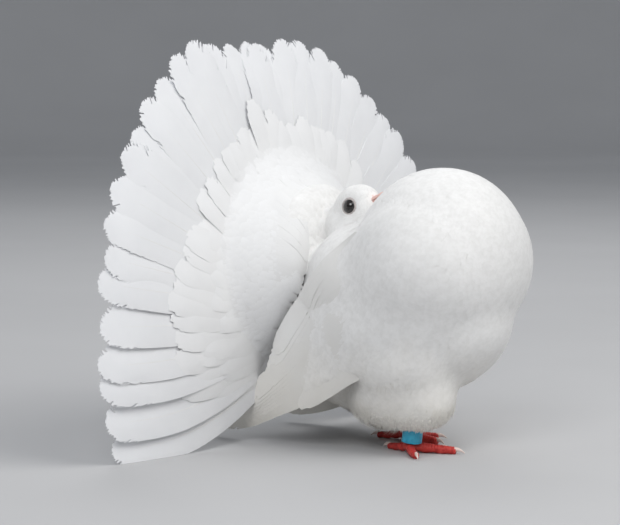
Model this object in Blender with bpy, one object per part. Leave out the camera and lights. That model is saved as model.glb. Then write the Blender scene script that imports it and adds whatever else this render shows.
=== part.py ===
"""A white fantail pigeon at life size, standing in display: breast pushed up
and forward, head drawn back against the cushion of the tail, tail spread into
a tall round fan, wings lowered so that their tips pass under the fan.

The bird faces +X, its left side is +Y, up is +Z and it stands on z = 0.
Sizes below are in millimetres; everything is scaled to metres at the end.
"""

import math

import bmesh
import bpy
import numpy as np
from mathutils import Matrix, Vector

# ----------------------------------------------------------------- sizes (mm)
MM = 0.001
GAP = 0.3               # clear space kept between neighbouring pieces

# tail fan
FEATHERS_PER_SIDE = 18  # main tail feathers on each side of the middle
FAN_EDGE = 118.0        # degrees from straight up to the lowest feather's edge
FAN_RADIUS = 167.0      # root of the tail to the feather tips
FAN_TOP_DIP = 8.0       # the middle feathers are a little shorter
FAN_CENTRE_Z = 78.0     # height of the root that the feathers spread from
FAN_ROOT_X = -41.0
FAN_TIP_X = -78.0       # the feathers sweep back towards their tips
FAN_DISH = 20.0         # the sides of the fan come forward by this much
FAN_HUB = 25.0          # radius at which the fan meets the rump
FAN_THICK = 1.7
FAN_STEP = 0.9          # each feather stands this proud of the next lower one
FAN_NOTCH = 7.0         # depth of the gaps between the feather tips
FAN_CURL = 0.30         # how much the lowest feathers curve outwards

# body
BREAST = ((58, 0, 111.5), (48.5, 56, 53.5))
BELLY = ((39.5, 0, 78), (59.5, 50, 46))
VENT = ((4, 0, 46), (36, 32, 27))
BACK = ((16, 0, 100), (40, 50, 34))
RUMP = ((-8, 0, 76), (42, 37, 36))
ROOT = ((-42, 0, 77), (20, 21, 21))
CUSHION = ((-35, 0, 108), (17, 50, 45))
UNDERTAIL = ((-62, 0, 66), (17, 40, 40))
THIGH_R = (((46, -18, 60), (34, 34, 34)), ((45, -19, 38), (33, 23, 25)), ((58, -20, 31.5), (20, 19, 17.5)),
           ((29, -18, 31.5), (21, 19, 17.5)))
THIGH_L = (((22, 18, 58), (30, 30, 30)), ((12, 18, 36), (32, 22, 23)), ((22, 18, 31), (20, 18, 17)),
           ((-9, 16, 32), (20, 17, 17)))

# head
HEAD_AT = (-1.5, 0.0, 138.8)
HEAD_PITCH = 27.0
HEAD_YAW = -9.0
EYE_RADIUS = 4.7
BILL_LENGTH = 15.5

# legs: right (near) and left feet
FOOT_R = (48.5, -18.0)
FOOT_L = (20.5, 18.0)
RING_OUTER = 5.9
RING_INNER = 4.7
RING_HEIGHT = 8.6


# ---------------------------------------------------------------- clean start
for old in list(bpy.data.objects):
    bpy.data.objects.remove(old, do_unlink=True)


# ------------------------------------------------------------------ materials
def material(name, colour, roughness, coat=0.0):
    m = bpy.data.materials.new(name)
    m.use_nodes = True
    b = m.node_tree.nodes["Principled BSDF"]
    b.inputs["Base Color"].default_value = (*colour, 1.0)
    b.inputs["Roughness"].default_value = roughness
    b.inputs["Metallic"].default_value = 0.0
    b.inputs["Coat Weight"].default_value = coat
    m.diffuse_color = (*colour, 1.0)
    return m


# --------------------------------------------------------------------- helpers
def link(name, mesh):
    o = bpy.data.objects.new(name, mesh)
    bpy.context.scene.collection.objects.link(o)
    return o


def evaluated(o):
    """The mesh that an object's modifiers give."""
    dg = bpy.context.evaluated_depsgraph_get()
    dg.update()
    return bpy.data.meshes.new_from_object(o.evaluated_get(dg), depsgraph=dg)


def take(o):
    """Evaluate an object, drop the object, keep the mesh."""
    m = evaluated(o)
    bpy.data.objects.remove(o, do_unlink=True)
    return m


def mesh_of(bm, name="m"):
    me = bpy.data.meshes.new(name)
    bmesh.ops.recalc_face_normals(bm, faces=bm.faces)
    bm.to_mesh(me)
    bm.free()
    return me


def ball(centre, radii, pitch=0.0, yaw=0.0, sub=3):
    bm = bmesh.new()
    bmesh.ops.create_icosphere(bm, subdivisions=sub, radius=1.0)
    t = (Matrix.Translation(centre) @ Matrix.Rotation(math.radians(yaw), 4, "Z")
         @ Matrix.Rotation(math.radians(-pitch), 4, "Y") @ Matrix.Diagonal((*radii, 1.0)))
    bmesh.ops.transform(bm, matrix=t, verts=bm.verts)
    return mesh_of(bm)


def loft(rings, closed_ends=True):
    """A closed skin through rings of points, with pointed or flat ends."""
    bm = bmesh.new()
    rows = [[bm.verts.new(p) for p in ring] for ring in rings]
    n = len(rows[0])
    for a, b in zip(rows, rows[1:]):
        for i in range(n):
            j = (i + 1) % n
            bm.faces.new((a[i], a[j], b[j], b[i]))
    if closed_ends:
        for row in (rows[0], rows[-1]):
            c = bm.verts.new(sum((v.co for v in row), Vector()) / n)
            for i in range(n):
                bm.faces.new((row[i], row[(i + 1) % n], c))
    bmesh.ops.triangulate(bm, faces=bm.faces)
    return mesh_of(bm)


def limb(points, radii, sides=12, caps=True):
    """A round tapering tube along a bent line, with domed ends."""
    pts = [Vector(p) for p in points]
    rings = []
    up = Vector((0.03, 0.02, 1.0)).normalized()
    for k, p in enumerate(pts):
        a = pts[max(k - 1, 0)]
        b = pts[min(k + 1, len(pts) - 1)]
        t = (b - a).normalized()
        s = t.cross(up if abs(t.dot(up)) < 0.95 else Vector((0, 1, 0))).normalized()
        w = s.cross(t).normalized()
        ends = []
        if k == 0 and caps:
            ends = [(-0.86, 0.5), (-0.5, 0.86)]
        r = radii[k]
        for off, f in ends:
            rings.append([p + t * (off * r) + (s * math.cos(q) + w * math.sin(q)) * (r * f)
                          for q in np.linspace(0, 2 * math.pi, sides, endpoint=False)])
        rings.append([p + (s * math.cos(q) + w * math.sin(q)) * r
                      for q in np.linspace(0, 2 * math.pi, sides, endpoint=False)])
        if k == len(pts) - 1 and caps:
            for off, f in ((0.5, 0.86), (0.86, 0.5)):
                rings.append([p + t * (off * r) + (s * math.cos(q) + w * math.sin(q)) * (r * f)
                              for q in np.linspace(0, 2 * math.pi, sides, endpoint=False)])
    return loft(rings)


def fused(meshes, voxel, smooth, triangles):
    """Several overlapping forms run together into one skin."""
    bm = bmesh.new()
    for m in meshes:
        bm.from_mesh(m)
    o = link("fused", mesh_of(bm))
    r = o.modifiers.new("fuse", "REMESH")
    r.mode = "VOXEL"
    r.voxel_size = voxel
    r.use_smooth_shade = True
    s = o.modifiers.new("soften", "SMOOTH")
    s.factor = 0.5
    s.iterations = smooth
    me = take(o)
    o = link("fused", me)
    d = o.modifiers.new("fewer", "DECIMATE")
    d.ratio = min(1.0, triangles / max(1, 2 * len(me.polygons)))
    d.use_collapse_triangulate = True
    return take(o)


def swollen(mesh, by):
    """A copy of a mesh grown outwards by a small even distance."""
    bm = bmesh.new()
    bm.from_mesh(mesh)
    bmesh.ops.recalc_face_normals(bm, faces=bm.faces)
    bm.normal_update()
    new = []
    for v in bm.verts:
        # the shift that moves every face at this corner out by the same amount
        n = np.array([f.normal[:] for f in v.link_faces if f.calc_area() > 1e-9])
        if len(n) == 0:
            new.append(v.co.copy())
            continue
        shift = np.linalg.lstsq(n, np.full(len(n), by), rcond=0.08)[0]
        least = float((n @ shift).min())
        if 0 < least < by:
            shift = shift * (by / max(least, by * 0.4))
        size = float(np.linalg.norm(shift))
        if size > 4 * by:
            shift = shift * (4 * by / size)
        new.append(v.co + Vector(shift))
    for v, p in zip(bm.verts, new):
        v.co = p
    return mesh_of(bm)


def biggest(mesh):
    """Keep the largest closed body of a mesh and drop stray slivers."""
    bm = bmesh.new()
    bm.from_mesh(mesh)
    bmesh.ops.triangulate(bm, faces=bm.faces)
    left = set(bm.verts)
    groups = []
    while left:
        seed = left.pop()
        group, stack = {seed}, [seed]
        while stack:
            v = stack.pop()
            for e in v.link_edges:
                w = e.other_vert(v)
                if w in left:
                    left.discard(w)
                    group.add(w)
                    stack.append(w)
        groups.append(group)
    if len(groups) > 1:
        def volume(g):
            fs = {f for v in g for f in v.link_faces}
            return abs(sum(f.verts[0].co.dot(f.verts[1].co.cross(f.verts[2].co)) for f in fs))
        groups.sort(key=volume)
        for g in groups[:-1]:
            bmesh.ops.delete(bm, geom=list(g), context="VERTS")
    me = bpy.data.meshes.new("kept")
    bm.to_mesh(me)
    bm.free()
    return me


def cut(mesh, cutter, grow=GAP, operation="DIFFERENCE"):
    a = link("a", mesh)
    b = link("b", swollen(cutter, grow) if grow else cutter)
    m = a.modifiers.new("cut", "BOOLEAN")
    m.operation = operation
    m.solver = "EXACT"
    m.object = b
    out = take(a)
    bpy.data.objects.remove(b, do_unlink=True)
    return biggest(out)


def tidy(mesh, merge=0.12):
    """Weld the tiny edges that a cut leaves."""
    bm = bmesh.new()
    bm.from_mesh(mesh)
    bmesh.ops.remove_doubles(bm, verts=bm.verts, dist=merge)
    bmesh.ops.dissolve_degenerate(bm, edges=bm.edges, dist=merge * 0.5)
    bmesh.ops.triangulate(bm, faces=bm.faces)
    ok = all(e.is_manifold for e in bm.edges)
    if not ok:
        bm.free()
        return mesh
    me = bpy.data.meshes.new("tidy")
    bm.to_mesh(me)
    bm.free()
    return me


def mirrored(mesh):
    bm = bmesh.new()
    bm.from_mesh(mesh)
    bmesh.ops.transform(bm, matrix=Matrix.Diagonal((1, -1, 1, 1)), verts=bm.verts)
    bmesh.ops.reverse_faces(bm, faces=bm.faces)
    return mesh_of(bm)


def box(lo, hi):
    bm = bmesh.new()
    bmesh.ops.create_cube(bm, size=1.0)
    size = [h - l for l, h in zip(lo, hi)]
    mid = [(h + l) / 2 for l, h in zip(lo, hi)]
    bmesh.ops.transform(bm, matrix=Matrix.Translation(mid) @ Matrix.Diagonal((*size, 1)), verts=bm.verts)
    return mesh_of(bm)


# ------------------------------------------------------------------- tail fan
def wobble(i, k=1.0):
    """A fixed, uneven-looking value from -1 to 1 for feather i."""
    return math.sin(12.9898 * i * k + 4.1) * 0.6 + math.sin(7.233 * i * k + 1.3) * 0.4


def fan_point(phi_tip, r_share, lift, radius):
    """A point on the fan: phi_tip in degrees from straight up (+ is the right
    side), r_share from 0 at the root to 1 at the tip."""
    s = abs(phi_tip)
    w = min(max((s - 60.0) / 60.0, 0.0), 1.0)
    w = (w * w * (3 - 2 * w)) ** 2
    phi = math.radians(phi_tip * (1.0 + FAN_CURL * w * (1.0 - r_share)))
    r = radius * r_share
    tip_x = FAN_TIP_X + FAN_DISH * math.sin(math.radians(phi_tip)) ** 2
    x = FAN_ROOT_X + (tip_x - FAN_ROOT_X) * r_share ** 1.3
    z = FAN_CENTRE_Z + r * math.cos(phi)
    return Vector((x + lift, -r * math.sin(phi), max(z, 0.0)))


def fan_radius(phi, i):
    return FAN_RADIUS - FAN_TOP_DIP * math.exp(-(phi / 12.0) ** 2) + 2.4 * wobble(i)


def fan_sector(first, last):
    """Feathers first..last-1, counted from the middle of the fan outwards,
    on the right side; negative numbers are on the left side."""
    step = FAN_EDGE / FEATHERS_PER_SIDE
    columns = []          # (phi, share of the feather's own width, lift, number)
    for i in range(first, last):
        side = 1 if i >= 0 else -1
        j = i if i >= 0 else -i - 1
        a, b = j * step * side, (j + 1) * step * side
        cols = [(0.03, 0.0), (0.28, 0.3), (0.66, 0.72), (0.97, 1.0)]
        if side < 0:
            cols = cols[::-1]
        for u, rise in cols:
            columns.append((a + (b - a) * u, u, FAN_STEP * rise, j, side))
    rows = (0.0, 0.45, 0.85, 1.0)
    bm = bmesh.new()
    front, back = [], []
    pad = math.degrees(GAP * 0.5 / FAN_RADIUS)
    for n, (phi, u, lift, j, side) in enumerate(columns):
        if n == 0:
            phi += pad if phi >= 0 or first < 0 else pad
        if n == len(columns) - 1:
            phi -= pad
        full = fan_radius((j + 0.5) * step, j * side + 3)
        # the rounded end of the feather, fullest a little inside its middle
        end = full - FAN_NOTCH * abs((u - 0.46) / 0.54) ** 2.2
        hub = FAN_HUB / full
        f_col, b_col = [], []
        for q in rows:
            share = hub + (end / full - hub) * q
            up = lift * min(1.0, 0.35 + 0.65 * q) * (1.0 if q > 0 else 0.4)
            thick = FAN_THICK * (1.0 if q < 0.9 else 0.8)
            f_col.append(bm.verts.new(fan_point(phi, share, up + FAN_THICK * 0.5, full)))
            b_col.append(bm.verts.new(fan_point(phi, share, up + FAN_THICK * 0.5 - thick, full)))
        front.append(f_col)
        back.append(b_col)
    m = len(rows)
    for a, b, c, d in zip(front, front[1:], back, back[1:]):
        for k in range(m - 1):
            bm.faces.new((a[k], b[k], b[k + 1], a[k + 1]))
            bm.faces.new((c[k], c[k + 1], d[k + 1], d[k]))
        bm.faces.new((a[m - 1], b[m - 1], d[m - 1], c[m - 1]))
        bm.faces.new((a[0], c[0], d[0], b[0]))
    for f_col, b_col in ((front[0], back[0]), (front[-1], back[-1])):
        for k in range(m - 1):
            bm.faces.new((f_col[k], f_col[k + 1], b_col[k + 1], b_col[k]))
    bmesh.ops.triangulate(bm, faces=bm.faces)
    return mesh_of(bm)


def fan_slab(inner):
    """The plain dished plate that holds the whole fan, with a little room,
    from a share of the fan's radius outwards."""
    bm = bmesh.new()
    rings = []
    low, high = -FAN_THICK / 2 - 5 * GAP, FAN_STEP + FAN_THICK / 2 + 2 * GAP
    for phi in np.linspace(-FAN_EDGE - 2, FAN_EDGE + 2, 31):
        near = [fan_point(phi, q, high, FAN_RADIUS) for q in (inner, 0.3, 0.5, 0.75, 1.02)]
        far = [fan_point(phi, q, low, FAN_RADIUS) for q in (1.02, 0.75, 0.5, 0.3, inner)]
        rings.append([bm.verts.new(p) for p in near + far])
    n = len(rings[0])
    for a, b in zip(rings, rings[1:]):
        for i in range(n):
            j = (i + 1) % n
            bm.faces.new((a[i], a[j], b[j], b[i]))
    bm.faces.new(rings[0])
    bm.faces.new(rings[-1][::-1])
    bmesh.ops.triangulate(bm, faces=bm.faces)
    return mesh_of(bm)


# ----------------------------------------------------------------------- wings
def smooth_path(points, count):
    """Evenly spaced points on a smooth curve through the given ones."""
    p = [Vector(q) for q in points]
    p = [p[0] * 2 - p[1]] + p + [p[-1] * 2 - p[-2]]
    out = []
    for k in range(count):
        t = (len(p) - 3) * k / (count - 1)
        i = min(int(t), len(p) - 4)
        f = t - i
        a, b, c, d = p[i:i + 4]
        out.append(0.5 * ((2 * b) + (c - a) * f + (2 * a - 5 * b + 4 * c - d) * f * f
                          + (3 * b - a - 3 * c + d) * f ** 3))
    return out


# the wing's lower and upper borders seen from the side (x, z), from the wrist
# back to the tip, and how far out from the middle it stands where the body
# does not hold it
WING_LOW = ((100, 97), (93, 84), (73, 66), (50, 54), (22, 42), (-9, 26), (-33, 18), (-57, 10), (-82, 7.5))
WING_TOP = ((101, 112), (90, 132), (64, 145), (38, 137), (12, 112), (-14, 78), (-34, 50), (-52, 31), (-84, 13))
WING_OUT = (14, 20, 30, 40, 45, 43, 40, 37, 33)
WING_RISE = (2.0, 4.5, 6.5, 6.5, 5.0, 3.0, 2.2, 1.6, 1.0)
WING_STATIONS = 13
WING_SIDES = 12


def body_side(x, z):
    """Half width of the body at a point seen from the side."""
    best = 0.0
    for (cx, cy, cz), (rx, ry, rz) in (BREAST, BELLY, BACK, RUMP):
        q = 1.0 - ((x - cx) / rx) ** 2 - ((z - cz) / rz) ** 2
        if q > 0:
            best = max(best, ry * math.sqrt(q))
    return best


def between(values, t):
    """Read a list of numbers at a fraction t of its length."""
    t = t * (len(values) - 1)
    i = min(int(t), len(values) - 2)
    return values[i] + (values[i + 1] - values[i]) * (t - i)


def wing():
    low = smooth_path([(x, 0, z) for x, z in WING_LOW], WING_STATIONS)
    top = smooth_path([(x, 0, z) for x, z in WING_TOP], WING_STATIONS)
    half = WING_SIDES // 2
    rings = []
    for k in range(WING_STATIONS):
        t = k / (WING_STATIONS - 1)
        free, rise = between(WING_OUT, t), between(WING_RISE, t)
        outer, inner = [], []
        for i in range(half):
            w = i / (half - 1)
            p = low[k].lerp(top[k], w)
            crown = math.sin(math.pi * (0.08 + 0.84 * w)) ** 0.7
            y = 5.0 * math.log(math.exp(body_side(p.x, p.z) / 5.0) + math.exp(free / 5.0))
            y += rise * crown + 0.4
            outer.append(Vector((p.x, -y, p.z)))
            inner.append(Vector((p.x, -y + max(1.5, rise * 1.5 * crown), p.z)))
        rings.append(outer + inner[::-1])
    return loft(rings)


# ------------------------------------------------------------------------ head
def head_frame():
    return (Matrix.Translation(HEAD_AT) @ Matrix.Rotation(math.radians(HEAD_YAW), 4, "Z")
            @ Matrix.Rotation(math.radians(-HEAD_PITCH), 4, "Y"))


def in_head(mesh):
    mesh.transform(head_frame())
    return mesh


def bill(upper):
    """One half of the bill, along +X from the face, in the head's own axes."""
    rings = []
    for q in (0.0, 0.3, 0.6, 0.85, 1.0):
        x = 10.5 + (BILL_LENGTH + 3.0) * q * (1.0 if upper else 0.93)
        w = 4.0 * (1 - q) ** 0.75 + 0.75
        if upper:
            mid = -1.4 - 2.2 * max(q - 0.6, 0.0) ** 1.4 * 2.4
            h_up, h_dn = 3.4 * (1 - q ** 1.6) + 0.7, 0.5
        else:
            mid = -2.0 - 0.4 * max(q - 0.6, 0.0)
            h_up, h_dn = 0.2, 2.3 * (1 - q ** 1.5) + 0.6
        ring = []
        for t in np.linspace(0, 2 * math.pi, 8, endpoint=False):
            c, s = math.cos(t), math.sin(t)
            ring.append(Vector((x, w * c, mid + (h_up if s > 0 else h_dn) * s)))
        rings.append(ring)
    return in_head(loft(rings))


# ------------------------------------------------------------------------ feet
def toes(hub, side):
    """Lines of the toes from the hub, each ending where its claw begins:
    (middle, outer, inner, hind). side is -1 for the right foot."""
    x, y = hub
    if side < 0:
        ends = ((72.5, -6.4), (63.0, -33.5), (61.5, -3.0), (29.5, -12.5))
        bows = (1.2, -1.0, 0.8, 0.0)
    else:
        ends = ((45.5, 15.5), (36.0, 31.0), (38.0, 4.5), (1.5, 17.0))
        bows = (-0.8, 1.0, -0.8, 0.0)
    return [((x, y), e, b) for e, b in zip(ends, bows)]


def foot(hub, side, knee):
    x, y = hub
    pieces = []
    for (a, b, bow), thick in zip(toes(hub, side), (3.0, 2.8, 2.7, 2.6)):
        a, b = Vector((*a, 0)), Vector((*b, 0))
        across = Vector((-(b - a).y, (b - a).x, 0)).normalized()
        pts, radii = [], []
        for q in np.linspace(0, 1, 6):
            r = thick - 0.7 * q
            lump = 0.25 * math.cos(q * 2 * math.pi * 3)
            z = r - 0.3 + (1.6 * (1 - q) ** 2)
            pts.append(a + (b - a) * q + across * (bow * math.sin(q * math.pi)) + Vector((0, 0, z)))
            radii.append(r + lump)
        pieces.append(limb(pts, radii, 9))
    shank = limb([(x, y, 4.0), (x + (knee[0] - x) * 0.3, y + (knee[1] - y) * 0.3, 10.0), knee],
                 (3.3, 2.9, 3.5), 12)
    pieces.append(shank)
    m = fused(pieces, 0.8, 2, 270)
    return cut(m, box((-200, -200, -30), (200, 200, 0.0)), 0.0)


def claw(a, b, size=1.45):
    """A short pale claw, from the toe's end a out along the line from the hub b."""
    a, b = Vector((*a, 0)), Vector((*b, 0))
    d = (a - b).normalized()
    rings = []
    side = Vector((-d.y, d.x, 0))
    for q in np.linspace(0, 1, 4):
        r = size * (1 - q) ** 0.7 + 0.28
        c = a + d * (-1.2 + 6.2 * q) + Vector((0, 0, 2.7 + 0.7 * math.sin(q * 2.4) - 2.2 * q ** 1.6))
        rings.append([c + side * (r * 0.8 * math.cos(t)) + Vector((0, 0, r * math.sin(t)))
                      for t in np.linspace(0, 2 * math.pi, 6, endpoint=False)])
    return loft(rings)


def leg_ring(centre, lean):
    """A plain ring: a short thick tube."""
    bm = bmesh.new()
    n = 20
    profile = ((RING_INNER, -1), (RING_OUTER, -1), (RING_OUTER, 1), (RING_INNER, 1))
    rows = []
    for k in range(n):
        t = 2 * math.pi * k / n
        rows.append([bm.verts.new((r * math.cos(t), r * math.sin(t), s * RING_HEIGHT / 2))
                     for r, s in profile])
    for k in range(n):
        a, b = rows[k], rows[(k + 1) % n]
        for i in range(4):
            j = (i + 1) % 4
            bm.faces.new((a[i], b[i], b[j], a[j]))
    bmesh.ops.transform(bm, matrix=Matrix.Translation(centre) @ Matrix.Rotation(math.radians(lean), 4, "Y"),
                        verts=bm.verts)
    return mesh_of(bm)


# ------------------------------------------------------------------- assembly
nodes = {}
whole = {}      # each piece's plain shape, before its neighbours are cut from it


def place(name, mesh, *against, gap=GAP):
    """Store a piece, with room cut out of it for the pieces named."""
    whole[name] = mesh.copy()
    out = mesh
    for other in against:
        out = cut(out, whole[other].copy(), gap)
    nodes[name] = tidy(out)
    return out


# eyes, bill and head, in the head's own axes
place("eye_r", in_head(ball((3.6, -9.0, 0.2), (EYE_RADIUS,) * 3, sub=2)))
place("eye_l", in_head(ball((3.6, 9.0, 0.2), (EYE_RADIUS,) * 3, sub=2)))
place("bill_upper", bill(True))
place("bill_lower", bill(False), "bill_upper")
place("cere", in_head(ball((14.2, 0, 2.2), (3.6, 3.5, 1.9), sub=2)), "bill_upper")
FACE = ("bill_upper", "bill_lower", "cere")
place("head", fused([in_head(ball((0, 0, 0), (16.5, 13.2, 14.2), sub=4)),
                     in_head(ball((8.0, 0, -1.5), (8.0, 7.2, 7.6), sub=4))], 1.3, 4, 260),
      "eye_r", "eye_l", *FACE)
place("neck", limb([(-8, 0, 128), (8, 0, 122), (26, 0, 120)], (15.5, 19, 26), 12), "head", *FACE)

# wings, and the tail fan in three pieces, parted between feathers
place("wing_r", wing())
place("wing_l", mirrored(wing()))
WINGS = ("wing_r", "wing_l")
top_n = 6
place("tail_fan_top", fan_sector(-top_n, top_n))
place("tail_fan_right", fan_sector(top_n, FEATHERS_PER_SIDE), "wing_r")
place("tail_fan_left", fan_sector(-FEATHERS_PER_SIDE, -top_n), "wing_l")
whole["fan"] = fan_slab(0.142)
whole["fan_disc"] = fan_slab(0.012)

# legs
for tag, hub, side, knee in (("r", FOOT_R, -1, (54.0, -20.5, 30.0)), ("l", FOOT_L, 1, (25.0, 18.5, 30.0))):
    claws = []
    for (a, b, bow), part in zip(toes(hub, side), ("middle", "outer", "inner", "hind")):
        claws.append("claw_%s_%s" % (tag, part))
        place(claws[-1], claw(b, a))
    place("leg_" + tag, foot(hub, side, knee), *claws)
place("leg_ring", leg_ring((50.4, -18.8, 10.9), 7.0))
whole["ring_space"] = limb([(48.5, -18.0, -8.0), (50.6, -18.9, 11.0), (51.2, -19.1, 17.0)],
                           (8.0, 8.0, 6.0), 14, caps=False)

# feathered thighs
place("thigh_r", fused([ball(*b, sub=4) for b in THIGH_R], 2.6, 5, 220),
      "leg_r", "ring_space", "wing_r")
place("thigh_l", fused([ball(*b, sub=4) for b in THIGH_L], 2.6, 5, 220),
      "leg_l", "wing_l", "thigh_r")

# the cushion of feathers before and behind the root of the tail, and the trunk
place("tail_coverts_upper", fused([ball(CUSHION[0], CUSHION[1], pitch=-6.0, sub=4)], 2.6, 1, 420),
      "head", "neck", "fan_disc", *WINGS)
place("tail_coverts_under", fused([ball(UNDERTAIL[0], UNDERTAIL[1], pitch=8.0, sub=4)], 2.6, 1, 300),
      "fan_disc", *WINGS, "tail_coverts_upper")
place("trunk", fused([ball(*BREAST, sub=5), ball(*BELLY, sub=5), ball(*BACK, sub=5), ball(*RUMP, sub=5),
                      ball(*VENT, sub=4), ball(*ROOT, sub=4)], 2.6, 8, 620),
      "head", "neck", *FACE, *WINGS, "fan", "thigh_r", "thigh_l", "leg_r", "leg_l",
      "tail_coverts_upper", "tail_coverts_under")

# ------------------------------------------------------- objects and materials
WHITE = material("plumage_white", (0.86, 0.86, 0.85), 0.75)
COOL = material("tail_white", (0.83, 0.85, 0.88), 0.7)
CREAM = material("wing_white", (0.86, 0.85, 0.81), 0.72)
looks = {
    "eye": material("eye_dark", (0.018, 0.014, 0.013), 0.12, 1.0),
    "bill": material("bill_pink", (0.80, 0.50, 0.45), 0.45),
    "cere": material("cere_pale", (0.82, 0.62, 0.58), 0.6),
    "claw": material("claw_pale", (0.78, 0.62, 0.55), 0.4),
    "ring": material("ring_blue", (0.03, 0.35, 0.58), 0.35),
    "leg": material("foot_red", (0.62, 0.07, 0.06), 0.5),
}

meshes = []
for name, me in nodes.items():
    bm = bmesh.new()
    bm.from_mesh(me)
    bmesh.ops.triangulate(bm, faces=bm.faces)
    bm.to_mesh(me)
    bm.free()
    meshes.append((name, me))

lo = [min(v.co[k] for _, me in meshes for v in me.vertices) for k in range(3)]
hi = [max(v.co[k] for _, me in meshes for v in me.vertices) for k in range(3)]
shift = Matrix.Translation((-(lo[0] + hi[0]) / 2, -(lo[1] + hi[1]) / 2, -lo[2]))
for name, me in meshes:
    me.transform(Matrix.Scale(MM, 4) @ shift)
    me.materials.clear()
    key = name.split("_")[0]
    if name == "leg_ring":
        look = looks["ring"]
    elif key in looks:
        look = looks[key]
    elif name.startswith("tail_fan"):
        look = COOL
    elif key == "wing":
        look = CREAM
    else:
        look = WHITE
    me.materials.append(look)
    me.name = name
    me.shade_smooth()
    me.set_sharp_from_angle(angle=math.radians(40))
    link(name, me)
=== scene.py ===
import math

import bmesh
import bpy
import numpy as np
from mathutils import Matrix, Vector
from mathutils.bvhtree import BVHTree


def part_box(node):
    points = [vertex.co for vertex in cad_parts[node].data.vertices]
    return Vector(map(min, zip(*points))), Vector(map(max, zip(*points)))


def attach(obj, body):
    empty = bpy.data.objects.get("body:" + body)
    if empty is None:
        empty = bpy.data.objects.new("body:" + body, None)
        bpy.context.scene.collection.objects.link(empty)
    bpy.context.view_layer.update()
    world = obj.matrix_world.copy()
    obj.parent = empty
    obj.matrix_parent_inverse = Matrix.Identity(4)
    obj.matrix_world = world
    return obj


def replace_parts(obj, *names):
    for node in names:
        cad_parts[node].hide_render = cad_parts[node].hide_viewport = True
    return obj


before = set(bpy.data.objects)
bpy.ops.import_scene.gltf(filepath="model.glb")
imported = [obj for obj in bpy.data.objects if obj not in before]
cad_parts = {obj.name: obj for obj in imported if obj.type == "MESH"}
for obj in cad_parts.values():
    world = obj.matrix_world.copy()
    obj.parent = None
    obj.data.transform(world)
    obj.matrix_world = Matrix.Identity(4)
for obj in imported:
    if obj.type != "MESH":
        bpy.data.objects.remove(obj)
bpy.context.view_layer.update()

# All shapes below are worked out in millimetres in the bird's own axes (it
# faces +X, its left is +Y) and moved into the frame by one shift, read from
# the ring on its leg.
RING_AT = np.array([50.4, -18.8, 10.9])
r_lo, r_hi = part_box("leg_ring")
SHIFT = np.array([(a + b) * 500.0 for a, b in zip(r_lo, r_hi)]) - RING_AT

# ------------------------------------------------------------------ the sizes
FEATHERS_PER_SIDE = 18
FAN_EDGE = 118.0
FAN_RADIUS = 167.0
FAN_TOP_DIP = 8.0
FAN_CENTRE_Z = 78.0
FAN_ROOT_X = -41.0
FAN_TIP_X = -78.0
FAN_DISH = 20.0
FAN_CURL = 0.30

BREAST = ((58, 0, 111.5), (48.5, 56, 53.5))
BELLY = ((39.5, 0, 78), (59.5, 50, 46))
VENT = ((4, 0, 46), (36, 32, 27))
BACK = ((16, 0, 100), (40, 50, 34))
RUMP = ((-8, 0, 76), (42, 37, 36))
ROOT = ((-42, 0, 77), (20, 21, 21))
CUSHION = ((-35, 0, 108), (17, 50, 45))
UNDERTAIL = ((-62, 0, 66), (17, 40, 40))
THIGH_R = (((46, -18, 60), (34, 34, 34)), ((45, -19, 38), (33, 23, 25)), ((58, -20, 31.5), (20, 19, 17.5)),
           ((29, -18, 31.5), (21, 19, 17.5)))
THIGH_L = (((22, 18, 58), (30, 30, 30)), ((12, 18, 36), (32, 22, 23)), ((22, 18, 31), (20, 18, 17)),
           ((-9, 16, 32), (20, 17, 17)))

HEAD_AT = (-1.5, 0.0, 138.8)
HEAD_PITCH = 27.0
HEAD_YAW = -9.0
HEAD_SIZE = (16.5, 13.2, 14.2)
EYE_AT = (3.6, 9.0, 0.2)
EYE_RADIUS = 4.8
BILL_LENGTH = 15.5

FOOT_R = (48.5, -18.0)
FOOT_L = (20.5, 18.0)

COAT = 0.22              # how deep the skin lies under the feathers' surface

WING_LOW = ((100, 97), (93, 84), (73, 66), (50, 54), (22, 42), (-9, 26), (-33, 18), (-57, 10), (-82, 7.5))
WING_TOP = ((101, 112), (90, 132), (64, 145), (38, 137), (12, 112), (-14, 78), (-34, 50), (-52, 31), (-84, 13))
WING_OUT = (14, 20, 30, 40, 45, 43, 40, 37, 33)
WING_RISE = (2.0, 4.5, 6.5, 6.5, 5.0, 3.0, 2.2, 1.6, 1.0)

rng = np.random.default_rng(20611)


# --------------------------------------------------------------------- helpers
def unit(v):
    return v / np.maximum(np.linalg.norm(v, axis=-1, keepdims=True), 1e-9)


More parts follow.
